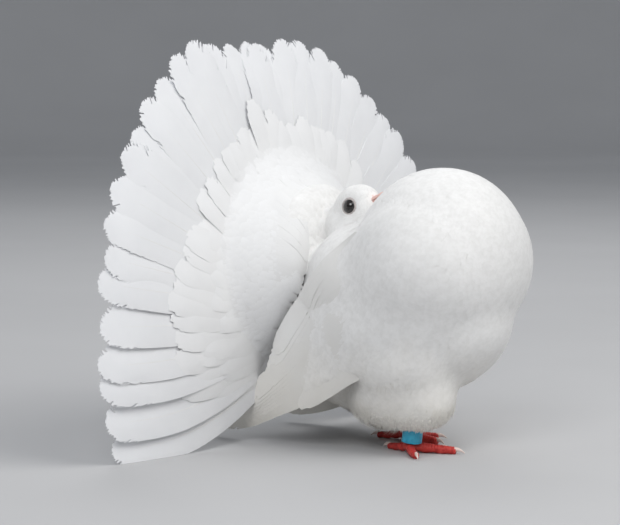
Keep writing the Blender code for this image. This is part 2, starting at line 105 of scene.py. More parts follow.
def build_mesh(name, verts, faces, uv=None, vane=None, smooth=True, sharp=None, normals=None):
    """A mesh object from vertices in mm, faces (lists or one array), and UVs
    given for each vertex."""
    me = bpy.data.meshes.new(name)
    v = (np.asarray(verts, dtype=np.float64) + SHIFT) * 0.001
    if isinstance(faces, np.ndarray):
        n, k = faces.shape
        me.vertices.add(len(v))
        me.vertices.foreach_set("co", v.astype(np.float32).ravel())
        me.loops.add(n * k)
        me.loops.foreach_set("vertex_index", faces.astype(np.int32).ravel())
        me.polygons.add(n)
        me.polygons.foreach_set("loop_start", (np.arange(n) * k).astype(np.int32))
        me.update(calc_edges=True)
    else:
        me.from_pydata(v.tolist(), [], faces)
        me.update()
    me.validate()
    loops = np.empty(len(me.loops), dtype=np.int32)
    me.loops.foreach_get("vertex_index", loops)
    for label, data in (("OFBake", uv), ("Vane", vane)):
        if data is not None:
            layer = me.uv_layers.new(name=label)
            layer.data.foreach_set("uv", np.asarray(data, dtype=np.float32)[loops].ravel())
    if smooth:
        me.shade_smooth()
        if sharp:
            me.set_sharp_from_angle(angle=math.radians(sharp))
        if normals is not None and len(normals) == len(loops):
            me.normals_split_custom_set(normals.tolist())
    o = bpy.data.objects.new(name, me)
    bpy.context.scene.collection.objects.link(o)
    return o


class Heap:
    """Collects many small closed pieces into one mesh."""

    def __init__(self):
        self.v, self.f, self.uv, self.vane, self.nrm, self.n = [], [], [], [], [], 0

    def add(self, verts, faces, uv, vane, corner_normals=None):
        self.v.append(verts)
        self.f.append(faces + self.n)
        self.uv.append(uv)
        self.vane.append(vane)
        if corner_normals is not None:
            self.nrm.append(corner_normals)
        self.n += len(verts)

    def make(self, name, sharp=60):
        soft = np.concatenate(self.nrm) if len(self.nrm) == len(self.v) else None
        return build_mesh(name, np.concatenate(self.v), np.concatenate(self.f),
                          np.concatenate(self.uv), np.concatenate(self.vane), sharp=None if soft is not None else sharp,
                          normals=soft)


# the skin's unwrap: six charts, one for each way the surface mostly faces
CHART_LO = np.array([-100.0, -175.0, -5.0])
CHART_SIZE = 350.0


def chart(p, n):
    """Place of a feather's root on the unwrap of the skin."""
    p, n = np.atleast_2d(p), np.atleast_2d(n)
    axis = np.argmax(np.abs(n), axis=1)
    sign = n[np.arange(len(n)), axis] > 0
    q = (p - CHART_LO) / CHART_SIZE
    pick = np.array([[1, 2], [0, 2], [0, 1]])[axis]
    a = q[np.arange(len(q)), pick[:, 0]]
    b = q[np.arange(len(q)), pick[:, 1]]
    u = 0.01 + axis * 0.33 + np.clip(a, 0, 1) * 0.31
    v = 0.01 + sign * 0.5 + np.clip(b, 0, 1) * 0.47
    return np.stack([u, v], -1)


PATCH = 0.003


def apply_all(o):
    """The object's modifiers turned into plain mesh."""
    dg = bpy.context.evaluated_depsgraph_get()
    dg.update()
    me = bpy.data.meshes.new_from_object(o.evaluated_get(dg), preserve_all_data_layers=True, depsgraph=dg)
    o.modifiers.clear()
    old = o.data
    o.data = me
    bpy.data.meshes.remove(old)
    return o


# ------------------------------------------------------------------- materials
def nodes_of(name):
    m = bpy.data.materials.new(name)
    m.use_nodes = True
    return m, m.node_tree.nodes, m.node_tree.links, m.node_tree.nodes["Principled BSDF"]


def noise(nodes, links, scale, detail=3.0, coords="Object", rough=0.55):
    t = nodes.new("ShaderNodeTexCoord")
    n = nodes.new("ShaderNodeTexNoise")
    n.inputs["Scale"].default_value = scale
    n.inputs["Detail"].default_value = detail
    n.inputs["Roughness"].default_value = rough
    links.new(t.outputs[coords], n.inputs["Vector"])
    return n


def ramp(nodes, links, source, stops):
    r = nodes.new("ShaderNodeValToRGB")
    while len(r.color_ramp.elements) < len(stops):
        r.color_ramp.elements.new(0.5)
    for e, (pos, colour) in zip(r.color_ramp.elements, stops):
        e.position = pos
        e.color = (*colour, 1.0)
    links.new(source, r.inputs["Fac"])
    return r


def feather_material(name, light, dark, mottle=False, barbs=0.0, barb_scale=60.0, rough=0.62, belly=None):
    """White plumage: faint cloudy variation, a slightly deeper tone towards
    each feather's base, fine barb lines and, where belly is given, that cream multiplied in low down:
    partly real staining, partly painted warm light bounced up from the floor."""
    m, nodes, links, b = nodes_of(name)
    n1 = noise(nodes, links, 38.0, 4.0)
    mix = ramp(nodes, links, n1.outputs["Fac"], ((0.3, dark), (0.72, light)))
    colour = mix.outputs["Color"]
    uvn = nodes.new("ShaderNodeUVMap")
    uvn.uv_map = "Vane"
    sep = nodes.new("ShaderNodeSeparateXYZ")
    links.new(uvn.outputs["UV"], sep.inputs["Vector"])
    base = ramp(nodes, links, sep.outputs["Y"], ((0.0, (0.90, 0.895, 0.885)), (0.75, (1, 1, 1))))
    mul = nodes.new("ShaderNodeMix")
    mul.data_type = "RGBA"
    mul.blend_type = "MULTIPLY"
    mul.inputs["Factor"].default_value = 1.0
    links.new(colour, mul.inputs["A"])
    links.new(base.outputs["Color"], mul.inputs["B"])
    colour = mul.outputs["Result"]
    if mottle:
        n4 = noise(nodes, links, 230.0, 1.5)
        r4 = ramp(nodes, links, n4.outputs["Fac"], ((0.36, (0.945, 0.944, 0.941)), (0.62, (1, 1, 1))))
        mul4 = nodes.new("ShaderNodeMix")
        mul4.data_type = "RGBA"
        mul4.blend_type = "MULTIPLY"
        mul4.inputs["Factor"].default_value = 1.0
        links.new(colour, mul4.inputs["A"])
        links.new(r4.outputs["Color"], mul4.inputs["B"])
        colour = mul4.outputs["Result"]
    # painted light, partly real staining: below about 85 mm height the colour is multiplied by the cream, standing in
    # for warm light bounced up from the floor
    if belly:
        geo = nodes.new("ShaderNodeNewGeometry")
        s2 = nodes.new("ShaderNodeSeparateXYZ")
        links.new(geo.outputs["Position"], s2.inputs["Vector"])
        n3 = noise(nodes, links, 55.0, 3.0)
        add = nodes.new("ShaderNodeMath")
        add.operation = "MULTIPLY_ADD"
        add.inputs[1].default_value = 0.03
        links.new(n3.outputs["Fac"], add.inputs[0])
        links.new(s2.outputs["Z"], add.inputs[2])
        r3 = ramp(nodes, links, add.outputs["Value"], ((0.02, belly), (0.085, (1, 1, 1))))
        mul2 = nodes.new("ShaderNodeMix")
        mul2.data_type = "RGBA"
        mul2.blend_type = "MULTIPLY"
        mul2.inputs["Factor"].default_value = 1.0
        links.new(colour, mul2.inputs["A"])
        links.new(r3.outputs["Color"], mul2.inputs["B"])
        colour = mul2.outputs["Result"]
    links.new(colour, b.inputs["Base Color"])
    b.inputs["Roughness"].default_value = rough
    b.inputs["Specular IOR Level"].default_value = 0.25
    b.inputs["Sheen Weight"].default_value = 0.12
    b.inputs["Sheen Roughness"].default_value = 0.45
    if barbs > 0:
        wave = nodes.new("ShaderNodeTexWave")
        wave.wave_type = "BANDS"
        wave.bands_direction = "X"
        wave.inputs["Scale"].default_value = barb_scale
        wave.inputs["Distortion"].default_value = 1.2
        wave.inputs["Detail"].default_value = 2.0
        wave.inputs["Detail Scale"].default_value = 2.0
        links.new(uvn.outputs["UV"], wave.inputs["Vector"])
        bump = nodes.new("ShaderNodeBump")
        bump.inputs["Strength"].default_value = barbs
        bump.inputs["Distance"].default_value = 0.0002
        links.new(wave.outputs["Fac"], bump.inputs["Height"])
        links.new(bump.outputs["Normal"], b.inputs["Normal"])
    else:
        n2 = noise(nodes, links, 900.0, 3.0)
        bump = nodes.new("ShaderNodeBump")
        bump.inputs["Strength"].default_value = 0.18
        bump.inputs["Distance"].default_value = 0.0002
        links.new(n2.outputs["Fac"], bump.inputs["Height"])
        links.new(bump.outputs["Normal"], b.inputs["Normal"])
    return m


def plain_material(name, stops, scale, rough, bump_scale, bump, distance=0.0003, coat=0.0, spec=0.5,
                   rough_range=None, sub=0.0):
    m, nodes, links, b = nodes_of(name)
    n1 = noise(nodes, links, scale, 4.0)
    r = ramp(nodes, links, n1.outputs["Fac"], stops)
    links.new(r.outputs["Color"], b.inputs["Base Color"])
    b.inputs["Roughness"].default_value = rough
    b.inputs["Specular IOR Level"].default_value = spec
    b.inputs["Coat Weight"].default_value = coat
    b.inputs["Coat Roughness"].default_value = 0.05
    if sub:
        b.inputs["Subsurface Weight"].default_value = sub
        b.inputs["Subsurface Radius"].default_value = (0.003, 0.001, 0.0007)
        b.inputs["Subsurface Scale"].default_value = 0.5
    if rough_range:
        n3 = noise(nodes, links, scale * 2.3, 3.0)
        mr = nodes.new("ShaderNodeMapRange")
        mr.inputs["To Min"].default_value = rough_range[0]
        mr.inputs["To Max"].default_value = rough_range[1]
        links.new(n3.outputs["Fac"], mr.inputs["Value"])
        links.new(mr.outputs["Result"], b.inputs["Roughness"])
    n2 = noise(nodes, links, bump_scale, 5.0)
    bu = nodes.new("ShaderNodeBump")
    bu.inputs["Strength"].default_value = bump
    bu.inputs["Distance"].default_value = distance
    links.new(n2.outputs["Fac"], bu.inputs["Height"])
    links.new(bu.outputs["Normal"], b.inputs["Normal"])
    return m


# cream for the low parts of the plumage: partly real staining, partly painted warm light bounced up from the floor
CREAM_STAIN_AND_FLOOR_BOUNCE = (0.955, 0.925, 0.865)
M_BODY = feather_material("body_feathers", (0.888, 0.885, 0.876), (0.85, 0.847, 0.838), mottle=True, belly=CREAM_STAIN_AND_FLOOR_BOUNCE)
M_FAN = feather_material("tail_feathers", (0.865, 0.872, 0.885), (0.825, 0.833, 0.85), barbs=0.13, barb_scale=26.0,
                         rough=0.55)
M_COVERT = feather_material("tail_coverts", (0.872, 0.874, 0.876), (0.835, 0.838, 0.842), barbs=0.06,
                            barb_scale=18.0, rough=0.6)
M_WING = feather_material("wing_feathers", (0.87, 0.866, 0.852), (0.83, 0.825, 0.81), barbs=0.07, barb_scale=20.0,
                          rough=0.55, belly=CREAM_STAIN_AND_FLOOR_BOUNCE)
M_DOWN = feather_material("down", (0.865, 0.86, 0.845), (0.825, 0.82, 0.8), belly=CREAM_STAIN_AND_FLOOR_BOUNCE, rough=0.75)
M_SKIN = plain_material("skin", ((0.35, (0.84, 0.83, 0.815)), (0.7, (0.87, 0.862, 0.85))), 60.0, 0.7, 500.0, 0.3)
M_SHAFT = plain_material("shaft", ((0.3, (0.80, 0.79, 0.76)), (0.7, (0.87, 0.86, 0.84))), 90.0, 0.4, 700.0, 0.1)

# ------------------------------------------------- the bird's outer shape
def ball_mesh(bm, centre, radii, pitch=0.0, yaw=0.0, sub=5, extra=None):
    made = bmesh.ops.create_icosphere(bm, subdivisions=sub, radius=1.0)
    t = (Matrix.Translation(centre) @ Matrix.Rotation(math.radians(yaw), 4, "Z")
         @ Matrix.Rotation(math.radians(-pitch), 4, "Y") @ Matrix.Diagonal((*radii, 1.0)))
    if extra is not None:
        t = extra @ t
    bmesh.ops.transform(bm, matrix=t, verts=made["verts"])


def chain_mesh(bm, balls, steps=9):
    """A limb as a close row of balls along a bent line."""
    for (a, ra), (b, rb) in zip(balls, balls[1:]):
        for q in np.linspace(0, 1, steps):
            r = ra + (rb - ra) * q
            ball_mesh(bm, [x + (y - x) * q for x, y in zip(a, b)], (r, r, r), sub=3)


def head_frame():
    return (Matrix.Translation(HEAD_AT) @ Matrix.Rotation(math.radians(HEAD_YAW), 4, "Z")
            @ Matrix.Rotation(math.radians(-HEAD_PITCH), 4, "Y"))


HEAD = head_frame()
HEAD_M = np.array(HEAD)


def head_pts(p):
    p = np.atleast_2d(np.asarray(p, dtype=float))
    return p @ HEAD_M[:3, :3].T + HEAD_M[:3, 3]


def to_head(p):
    return (np.asarray(p) - HEAD_M[:3, 3]) @ HEAD_M[:3, :3]


def smooth_path(points, count):
    p = [np.asarray(q, dtype=float) for q in points]
    p = [p[0] * 2 - p[1]] + p + [p[-1] * 2 - p[-2]]
    out = []
    for k in range(count):
        t = (len(p) - 3) * k / (count - 1)
        i = min(int(t), len(p) - 4)
        f = t - i
        a, b, c, d = p[i:i + 4]
        out.append(0.5 * ((2 * b) + (c - a) * f + (2 * a - 5 * b + 4 * c - d) * f * f
                          + (3 * b - a - 3 * c + d) * f ** 3))
    return np.array(out)


def body_side(x, z):
    """Half width of the body at points seen from the side."""
    best = np.zeros(np.broadcast(x, z).shape)
    for (cx, cy, cz), (rx, ry, rz) in (BREAST, BELLY, BACK, RUMP):
        q = 1.0 - ((x - cx) / rx) ** 2 - ((z - cz) / rz) ** 2
        best = np.maximum(best, ry * np.sqrt(np.maximum(q, 0)))
    return best


WING_N = 97
W_LOW = smooth_path(WING_LOW, WING_N)
W_TOP = smooth_path(WING_TOP, WING_N)
W_T = np.linspace(0, 1, WING_N)


def wing_point(t, w, lift=0.0, side=-1):
    """A point of the wing's outer surface: t from the wrist to the tip, w
    from the lower border to the upper. side is -1 for the right wing."""
    t, w = np.broadcast_arrays(np.asarray(t, float), np.asarray(w, float))
    tc = np.clip(t, 0, 1)
    lx, lz = np.interp(tc, W_T, W_LOW[:, 0]), np.interp(tc, W_T, W_LOW[:, 1])
    ux, uz = np.interp(tc, W_T, W_TOP[:, 0]), np.interp(tc, W_T, W_TOP[:, 1])
    x, z = lx + (ux - lx) * w, lz + (uz - lz) * w
    s = np.linspace(0, 1, len(WING_OUT))
    free, rise = np.interp(tc, s, WING_OUT), np.interp(tc, s, WING_RISE)
    crown = np.sin(math.pi * (0.08 + 0.84 * np.clip(w, 0, 1))) ** 0.7
    y = 5.0 * np.logaddexp(body_side(x, z) / 5.0, free / 5.0) + rise * crown + 0.4 + lift
    return np.stack([x, side * y, z], -1)


def wing_solid(bm, side):
    nt, nw = 60, 16
    t = np.linspace(0, 0.84, nt)[:, None]
    w = np.linspace(0, 1, nw)[None, :]
    outer = wing_point(t, w, 0.0, side)
    inner = wing_point(t, w, -4.5, side)
    ring = np.concatenate([outer, inner[:, ::-1]], axis=1)
    rows = [[bm.verts.new(p) for p in row] for row in ring]
    n = len(rows[0])
    made = []
    for a, b in zip(rows, rows[1:]):
        for i in range(n):
            j = (i + 1) % n
            made.append(bm.faces.new((a[i], a[j], b[j], b[i])))
    made.append(bm.faces.new(rows[0]))
    made.append(bm.faces.new(rows[-1][::-1]))
    bmesh.ops.recalc_face_normals(bm, faces=made)


bm = bmesh.new()
for (c, r), s in ((BREAST, 5), (BELLY, 5), (BACK, 5), (RUMP, 5), (VENT, 5), (ROOT, 4)):
    ball_mesh(bm, c, r, sub=s)
ball_mesh(bm, *CUSHION, pitch=-6.0)
ball_mesh(bm, *UNDERTAIL, pitch=8.0)
ball_mesh(bm, (0, 0, 0), HEAD_SIZE, extra=HEAD)
ball_mesh(bm, (8.0, 0, -1.5), (8.0, 7.2, 7.6), extra=HEAD)
chain_mesh(bm, (((-8, 0, 127), 15.5), ((8, 0, 121), 19), ((26, 0, 118), 26)))
for c, r in THIGH_R + THIGH_L:
    ball_mesh(bm, c, r, sub=4)
wing_solid(bm, -1)
wing_solid(bm, 1)
me = bpy.data.meshes.new("shape")
bm.to_mesh(me)
bm.free()
shape = bpy.data.objects.new("shape", me)
bpy.context.scene.collection.objects.link(shape)
mod = shape.modifiers.new("fuse", "REMESH")
mod.mode = "VOXEL"
mod.voxel_size = 1.5
mod = shape.modifiers.new("soften", "SMOOTH")
mod.factor = 0.5
mod.iterations = 16
apply_all(shape)

n = len(shape.data.vertices)
S_V = np.empty(n * 3, dtype=np.float32)
shape.data.vertices.foreach_get("co", S_V)
S_V = S_V.reshape(-1, 3).astype(float)
shape.data.calc_loop_triangles()
S_F = np.empty(len(shape.data.loop_triangles) * 3, dtype=np.int32)
shape.data.loop_triangles.foreach_get("vertices", S_F)
S_F = S_F.reshape(-1, 3)


def vertex_normals(v, f):
    fn = np.cross(v[f[:, 1]] - v[f[:, 0]], v[f[:, 2]] - v[f[:, 0]])
    out = np.zeros_like(v)
    for k in range(3):
        np.add.at(out, f[:, k], fn)
    return unit(out)


# the folds between breast, wings, belly and thighs are filled by the plumage,
# so they are softened there and not on the head
keep_w = np.clip((np.linalg.norm(S_V - np.array(HEAD_AT), axis=1) - 27.0) / 16.0, 0, 1)[:, None]
n = len(S_V)
links_a = np.concatenate([S_F[:, 0], S_F[:, 1], S_F[:, 2], S_F[:, 1], S_F[:, 2], S_F[:, 0]])
links_b = np.concatenate([S_F[:, 1], S_F[:, 2], S_F[:, 0], S_F[:, 0], S_F[:, 1], S_F[:, 2]])
ties = np.maximum(np.bincount(links_a, minlength=n), 1)[:, None]
for _ in range(46):
    mean = np.stack([np.bincount(links_a, weights=S_V[links_b, k], minlength=n) for k in range(3)], -1) / ties
    S_V = S_V + 0.5 * keep_w * (mean - S_V)
S_V = S_V + vertex_normals(S_V, S_F) * 0.45 * keep_w

# shallow sockets for the eyes
for side in (-1, 1):
    h = to_head(S_V)
    d = np.hypot(h[:, 0] - EYE_AT[0], h[:, 2] - EYE_AT[2])
    near = (d < 7.5) & (h[:, 1] * side > 5)
    depth = 1.5 * (1 - np.clip((d - 3.4) / 4.1, 0, 1)) ** 1.5
    h[near, 1] -= side * depth[near]
    S_V[near] = head_pts(h[near])

S_N = vertex_normals(S_V, S_F)
F_N = unit(S_N[S_F].mean(1))
tree = BVHTree.FromPolygons(S_V.tolist(), S_F.tolist())


def nearest(p):
    """Closest points of the outer shape, with smooth normals."""
    q = np.empty_like(p)
    n = np.empty_like(p)
    find = tree.find_nearest
    for i, x in enumerate(p):
        loc, _, k, _ = find(x)
        q[i] = loc
        n[i] = F_N[k]
    return q, n


# the skin itself, under the coat
mesh = shape.data
skin_v = S_V - S_N * COAT
o = build_mesh("skin", skin_v, S_F, uv=chart(S_V, S_N), smooth=True)
bpy.data.objects.remove(shape, do_unlink=True)
dec = o.modifiers.new("fewer", "DECIMATE")
dec.ratio = 0.3
apply_all(o)
o.data.materials.append(M_SKIN)
SKIN = o

# --------------------------------------------------------- the lie of the coat
NECK_BASE = np.array([14.0, 0.0, 138.0])
VENT_AT = np.array([-22.0, 0.0, 30.0])
BILL_BASE = head_pts([(14.0, 0, -1.0)])[0]


def ball_gap(p, centre, radii, pitch=0.0):
    """Rough distance in mm outside an ellipsoid."""
    q = p - np.array(centre, float)
    if pitch:
        a = math.radians(pitch)
        x = q[:, 0] * math.cos(a) + q[:, 2] * math.sin(a)
        z = -q[:, 0] * math.sin(a) + q[:, 2] * math.cos(a)
        q = np.stack([x, q[:, 1], z], -1)
    r = np.array(radii, float)
    k = np.linalg.norm(q / r, axis=1)
    return (k - 1.0) * r.min()


def chain_gap(p, balls):
    best = np.full(len(p), 1e9)
    for (a, ra), (b, rb) in zip(balls, balls[1:]):
        a, b = np.array(a, float), np.array(b, float)
        t = np.clip(((p - a) @ (b - a)) / ((b - a) @ (b - a)), 0, 1)
        d = np.linalg.norm(p - (a + t[:, None] * (b - a)), axis=1) - (ra + (rb - ra) * t)
        best = np.minimum(best, d)
    return best


REGIONS = ("head", "neck", "breast", "belly", "back", "rump", "cushion", "under", "thigh_r", "thigh_l",
           "wing_r", "wing_l", "vent")

WT, WW = np.meshgrid(np.linspace(0, 0.84, 40), np.linspace(0, 1, 14), indexing="ij")
wing_pts = wing_point(WT.ravel(), WW.ravel(), 0.0, -1)
W_AXIS = []
wing_dir = unit(wing_point(np.clip(WT + 0.03, 0, 1).ravel(), WW.ravel(), 0, -1) - wing_pts)
kd_r = BVHTree.FromPolygons(
    wing_pts.tolist(),
    [(i * 14 + j, (i + 1) * 14 + j, (i + 1) * 14 + j + 1, i * 14 + j + 1) for i in range(39) for j in range(13)])


def wing_hit(p):
    """Distance to the right wing's surface and its lie there (p mirrored for
    the left wing by the caller)."""
    d = np.full(len(p), 1e3)
    tt = np.zeros(len(p))
    ww = np.zeros(len(p))
    box_ok = (p[:, 1] < -10) & (p[:, 0] > -90) & (p[:, 0] < 108)
    for i in np.nonzero(box_ok)[0]:
        loc, _, k, dist = kd_r.find_nearest(p[i])
        d[i] = dist
        tt[i] = WT[(k // 13), 0]
        ww[i] = WW[0, k % 13]
    return d, tt, ww


def lie(p, n):
    """Region weights and the direction that the feathers run, at points p."""
    g = {}
    g["head"] = np.minimum(ball_gap(to_head(p), (0, 0, 0), HEAD_SIZE), 1e3)
    g["neck"] = chain_gap(p, (((-8, 0, 127), 15.5), ((8, 0, 121), 19), ((26, 0, 118), 26)))
    g["breast"] = ball_gap(p, *BREAST)
    g["belly"] = ball_gap(p, *BELLY)
    g["back"] = ball_gap(p, *BACK)
    g["rump"] = np.minimum(ball_gap(p, *RUMP), ball_gap(p, *ROOT))
    g["cushion"] = ball_gap(p, CUSHION[0], CUSHION[1], -6.0)
    g["under"] = ball_gap(p, UNDERTAIL[0], UNDERTAIL[1], 8.0)
    g["thigh_r"] = np.min([ball_gap(p, *b) for b in THIGH_R[1:]], axis=0)
    g["thigh_l"] = np.min([ball_gap(p, *b) for b in THIGH_L[1:]], axis=0)
    g["vent"] = ball_gap(p, *VENT)
    dr, tr, wr = wing_hit(p)
    dl, tl, wl = wing_hit(p * np.array([1, -1, 1]))
    g["wing_r"], g["wing_l"] = dr - 1.2, dl - 1.2
    weights = np.stack([np.exp(-np.clip(g[k], -6, 200) / 1.6) for k in REGIONS], -1)
    weights /= weights.sum(1, keepdims=True)
    flow = unit(p - NECK_BASE) / np.linalg.norm(p - NECK_BASE, axis=1, keepdims=True) \
        + unit(VENT_AT - p) / np.linalg.norm(VENT_AT - p, axis=1, keepdims=True)
    flow = unit(flow)
    wing_lie = np.array([-0.86, 0.0, -0.5])
    side = np.sign(p[:, 1:2])
    down = np.concatenate([np.full((len(p), 1), -0.12), np.zeros((len(p), 1)), np.full((len(p), 1), -1.0)], 1)
    lies = {
        "head": unit(p - BILL_BASE),
        "neck": unit(np.array([0.9, 0, -0.35]) + 0 * p),
        "breast": flow, "belly": flow,
        "back": unit(np.array([-0.9, 0, -0.35]) + 0 * p),
        "rump": unit(np.array([-0.9, 0, -0.45]) + 0 * p),
        "cushion": unit((p - np.array([-30.0, 0, 74.0])) * np.array([0.5, 1, 1])),
        "under": unit((p - np.array([-52.0, 0, 60.0])) * np.array([0.6, 1, 1])),
        "thigh_r": unit(down + 0.9 * n * (n[:, 2:3] < -0.5)), "thigh_l": unit(down + 0.9 * n * (n[:, 2:3] < -0.5)),
        "wing_r": unit(wing_lie + 0 * p), "wing_l": unit(wing_lie + 0 * p),
        "vent": unit(np.array([-0.75, 0, -0.5]) + 0 * p),
    }
    d = sum(weights[:, i:i + 1] * lies[k] for i, k in enumerate(REGIONS))
    d -= n * (d * n).sum(1, keepdims=True)
    return weights, unit(d), np.where(p[:, 1] < 0, tr, tl), np.where(p[:, 1] < 0, wr, wl)


def fan_x(r, phi=None):
    """X of the fan's front face at radius r (arrays)."""
    return FAN_ROOT_X + (FAN_TIP_X - FAN_ROOT_X) * (np.clip(r, 0, 200) / FAN_RADIUS) ** 1.3


# -------------------------------------------------------- scattering the roots
tri = S_V[S_F]
area = 0.5 * np.linalg.norm(np.cross(tri[:, 1] - tri[:, 0], tri[:, 2] - tri[:, 0]), axis=1)


def scatter(count, spacing_of, seed):
    """Roots spread evenly over the outer shape, at least a spacing apart."""
    r = np.random.default_rng(seed)
    k = r.choice(len(S_F), size=count, p=area / area.sum())
    a, b = r.random(count), r.random(count)
    flip = a + b > 1
    a[flip], b[flip] = 1 - a[flip], 1 - b[flip]
    p = tri[k, 0] + a[:, None] * (tri[k, 1] - tri[k, 0]) + b[:, None] * (tri[k, 2] - tri[k, 0])
    n = F_N[k]
    space = spacing_of(p, n)
    ok = space < 50
    p, n, space = p[ok], n[ok], space[ok]
    cell = max(1.0, float(space.max()))
    grid = {}
    keep = []
    near = [(a, b, c) for a in (-1, 0, 1) for b in (-1, 0, 1) for c in (-1, 0, 1)]
    ij = np.floor(p / cell).astype(int).tolist()
    pl, sl = p.tolist(), (space ** 2).tolist()
    for i in range(len(p)):
        s = sl[i]
        x, y, z = ij[i]
        px, py, pz = pl[i]
        good = True
        for a, b, c in near:
            for qx, qy, qz in grid.get((x + a, y + b, z + c), ()):
                if (qx - px) ** 2 + (qy - py) ** 2 + (qz - pz) ** 2 < s:
                    good = False
                    break
            if not good:
                break
        if good:
            grid.setdefault((x, y, z), []).append((px, py, pz))
            keep.append(i)
    return p[keep], n[keep], space[keep]


# --------------------------------------------------------------- small feathers
LEAF_S = np.array([0.0, 0.26, 0.52, 0.75, 0.91])
LEAF_W = np.array([0.30, 0.80, 1.00, 0.88, 0.52])
LEAF_F, LEAF_TOP = [], []
for k in range(4):
    a, b = k * 3, k * 3 + 3
    LEAF_F += [(a, a + 1, b + 1), (a, b + 1, b), (a + 1, a + 2, b + 2), (a + 1, b + 2, b + 1)]
    LEAF_F += [(a, b, b + 2), (a, b + 2, a + 2)]
    LEAF_TOP += [1, 1, 1, 1, -1, -1]
LEAF_F += [(12, 13, 15), (13, 14, 15), (12, 15, 14), (0, 2, 1)]
LEAF_TOP += [1, 1, -1, 1]
LEAF_F, LEAF_TOP = np.array(LEAF_F)[:, ::-1], np.array(LEAF_TOP)


def leaves(heap, p, n, d, length, width, depth, h1, h2, thick=0.12, camber=0.10, yaw=0.12, seed=1, ragged=0.08,
           soft=0.75, on=None):
    """Many small vanes lying along the body. All the sizes are arrays. on
    finds the closest points of the surface they lie on; soft is how far their
    shading follows that surface."""
    on = on or nearest
    r = np.random.default_rng(seed)
    m = len(p)
    turn = r.normal(0, yaw, m)[:, None]
    lat = unit(np.cross(n, d))
    d = unit(d * np.cos(turn) + lat * np.sin(turn))
    L = length[:, None]
    p1, n1 = on(p + d * L * 0.5)
    step = unit(p1 - p)
    p2, n2 = on(p1 + step * L * 0.5)
    root = p - n * depth[:, None]
    mid = p1 + n1 * h1[:, None]
    tip = p2 + n2 * h2[:, None]
    rows = []
    normals = []
    for s in list(LEAF_S) + [1.0]:
        rows.append(root * (1 - s) * (1 - 2 * s) + mid * 4 * s * (1 - s) + tip * s * (2 * s - 1))
        normals.append(unit(n * max(0, 1 - 2 * s) + n1 * (1 - abs(2 * s - 1)) + n2 * max(0, 2 * s - 1)))
    verts = np.empty((m, 16, 3))
    vn = np.empty((m, 16, 3))
    w = width[:, None] * 0.5
    for k in range(5):
        tangent = unit(rows[k + 1] - rows[max(k - 1, 0)])
        across = unit(np.cross(normals[k], tangent))
        up = np.cross(tangent, across)
        rag = 1 + r.normal(0, ragged, (m, 2)) * (k >= 3)
        verts[:, k * 3] = rows[k] - across * w * LEAF_W[k] * rag[:, :1] - up * camber * LEAF_W[k]
        verts[:, k * 3 + 1] = rows[k] + up * thick
        verts[:, k * 3 + 2] = rows[k] + across * w * LEAF_W[k] * rag[:, 1:] - up * camber * LEAF_W[k]
        own = unit(up)
        vn[:, k * 3] = unit(soft * normals[k] + (1 - soft) * unit(own - across * 0.5))
        vn[:, k * 3 + 1] = unit(soft * normals[k] + (1 - soft) * own)
        vn[:, k * 3 + 2] = unit(soft * normals[k] + (1 - soft) * unit(own + across * 0.5))
    verts[:, 15] = rows[5] + across * w * r.normal(0, 0.18, (m, 1))
    vn[:, 15] = normals[5]
    faces = (LEAF_F[None] + (np.arange(m) * 16)[:, None, None]).reshape(-1, 3)
    local = np.empty((16, 2))
    for k in range(5):
        local[k * 3] = (0, LEAF_S[k])
        local[k * 3 + 1] = (0.5, LEAF_S[k])
        local[k * 3 + 2] = (1, LEAF_S[k])
    local[15] = (0.5, 1)
    verts[:, :, 2] = np.maximum(verts[:, :, 2], 0.3)
    uv = chart(p, n)[:, None, :] + (local[None] - 0.5) * PATCH
    corner = (vn[:, LEAF_F] * LEAF_TOP[None, :, None, None]).reshape(-1, 3)
    heap.add(verts.reshape(-1, 3), faces, uv.reshape(-1, 2), np.tile(local, (m, 1)), corner)


BLADE_F = np.array([(0, 1, 4), (0, 4, 3), (1, 2, 5), (1, 5, 4), (2, 0, 3), (2, 3, 5),
                    (3, 4, 6), (4, 5, 6), (5, 3, 6), (0, 2, 1)])


def blades(heap, p, n, d, length, width, depth, stand, curl, per=5, spread=0.5, seed=2):
    """Soft tufts of down: a few narrow strands from each root."""
    r = np.random.default_rng(seed)
    p, n, d = (np.repeat(x, per, axis=0) for x in (p, n, d))
    length, width, depth, stand = (np.repeat(x, per) for x in (length, width, depth, stand))
    m = len(p)
    turn = r.normal(0, spread, m)[:, None]
    lat = unit(np.cross(n, d))
    dd = unit(d * np.cos(turn) + lat * np.sin(turn))
    L = (length * r.uniform(0.65, 1.12, m))[:, None]
    root = p - n * depth[:, None] + lat * r.normal(0, 0.5, (m, 1))
    rise = (stand * r.uniform(0.4, 1.5, m))[:, None]
    mid = root + dd * L * 0.5 + n * (depth[:, None] + rise * 0.75)
    tip = root + dd * L * 0.98 + n * (depth[:, None] + rise) - n * curl * L * 0.12
    across = unit(np.cross(n, dd))
    w = (width * r.uniform(0.7, 1.3, m))[:, None] * 0.5
    verts = np.empty((m, 7, 3))
    for k, (c, f) in enumerate(((root, 0.8), (mid, 1.0))):
        verts[:, k * 3] = c - across * w * f
        verts[:, k * 3 + 1] = c + n * w * 0.5 * f
        verts[:, k * 3 + 2] = c + across * w * f
    verts[:, 6] = tip
    faces = (BLADE_F[None] + (np.arange(m) * 7)[:, None, None]).reshape(-1, 3)
    local = np.array([(0, 0), (0.5, 0), (1, 0), (0, 0.5), (0.5, 0.5), (1, 0.5), (0.5, 1)], float)
    uv = chart(p, n)[:, None, :] + (local[None] - 0.5) * PATCH
    heap.add(verts.reshape(-1, 3), faces, uv.reshape(-1, 2), np.tile(local, (m, 1)))


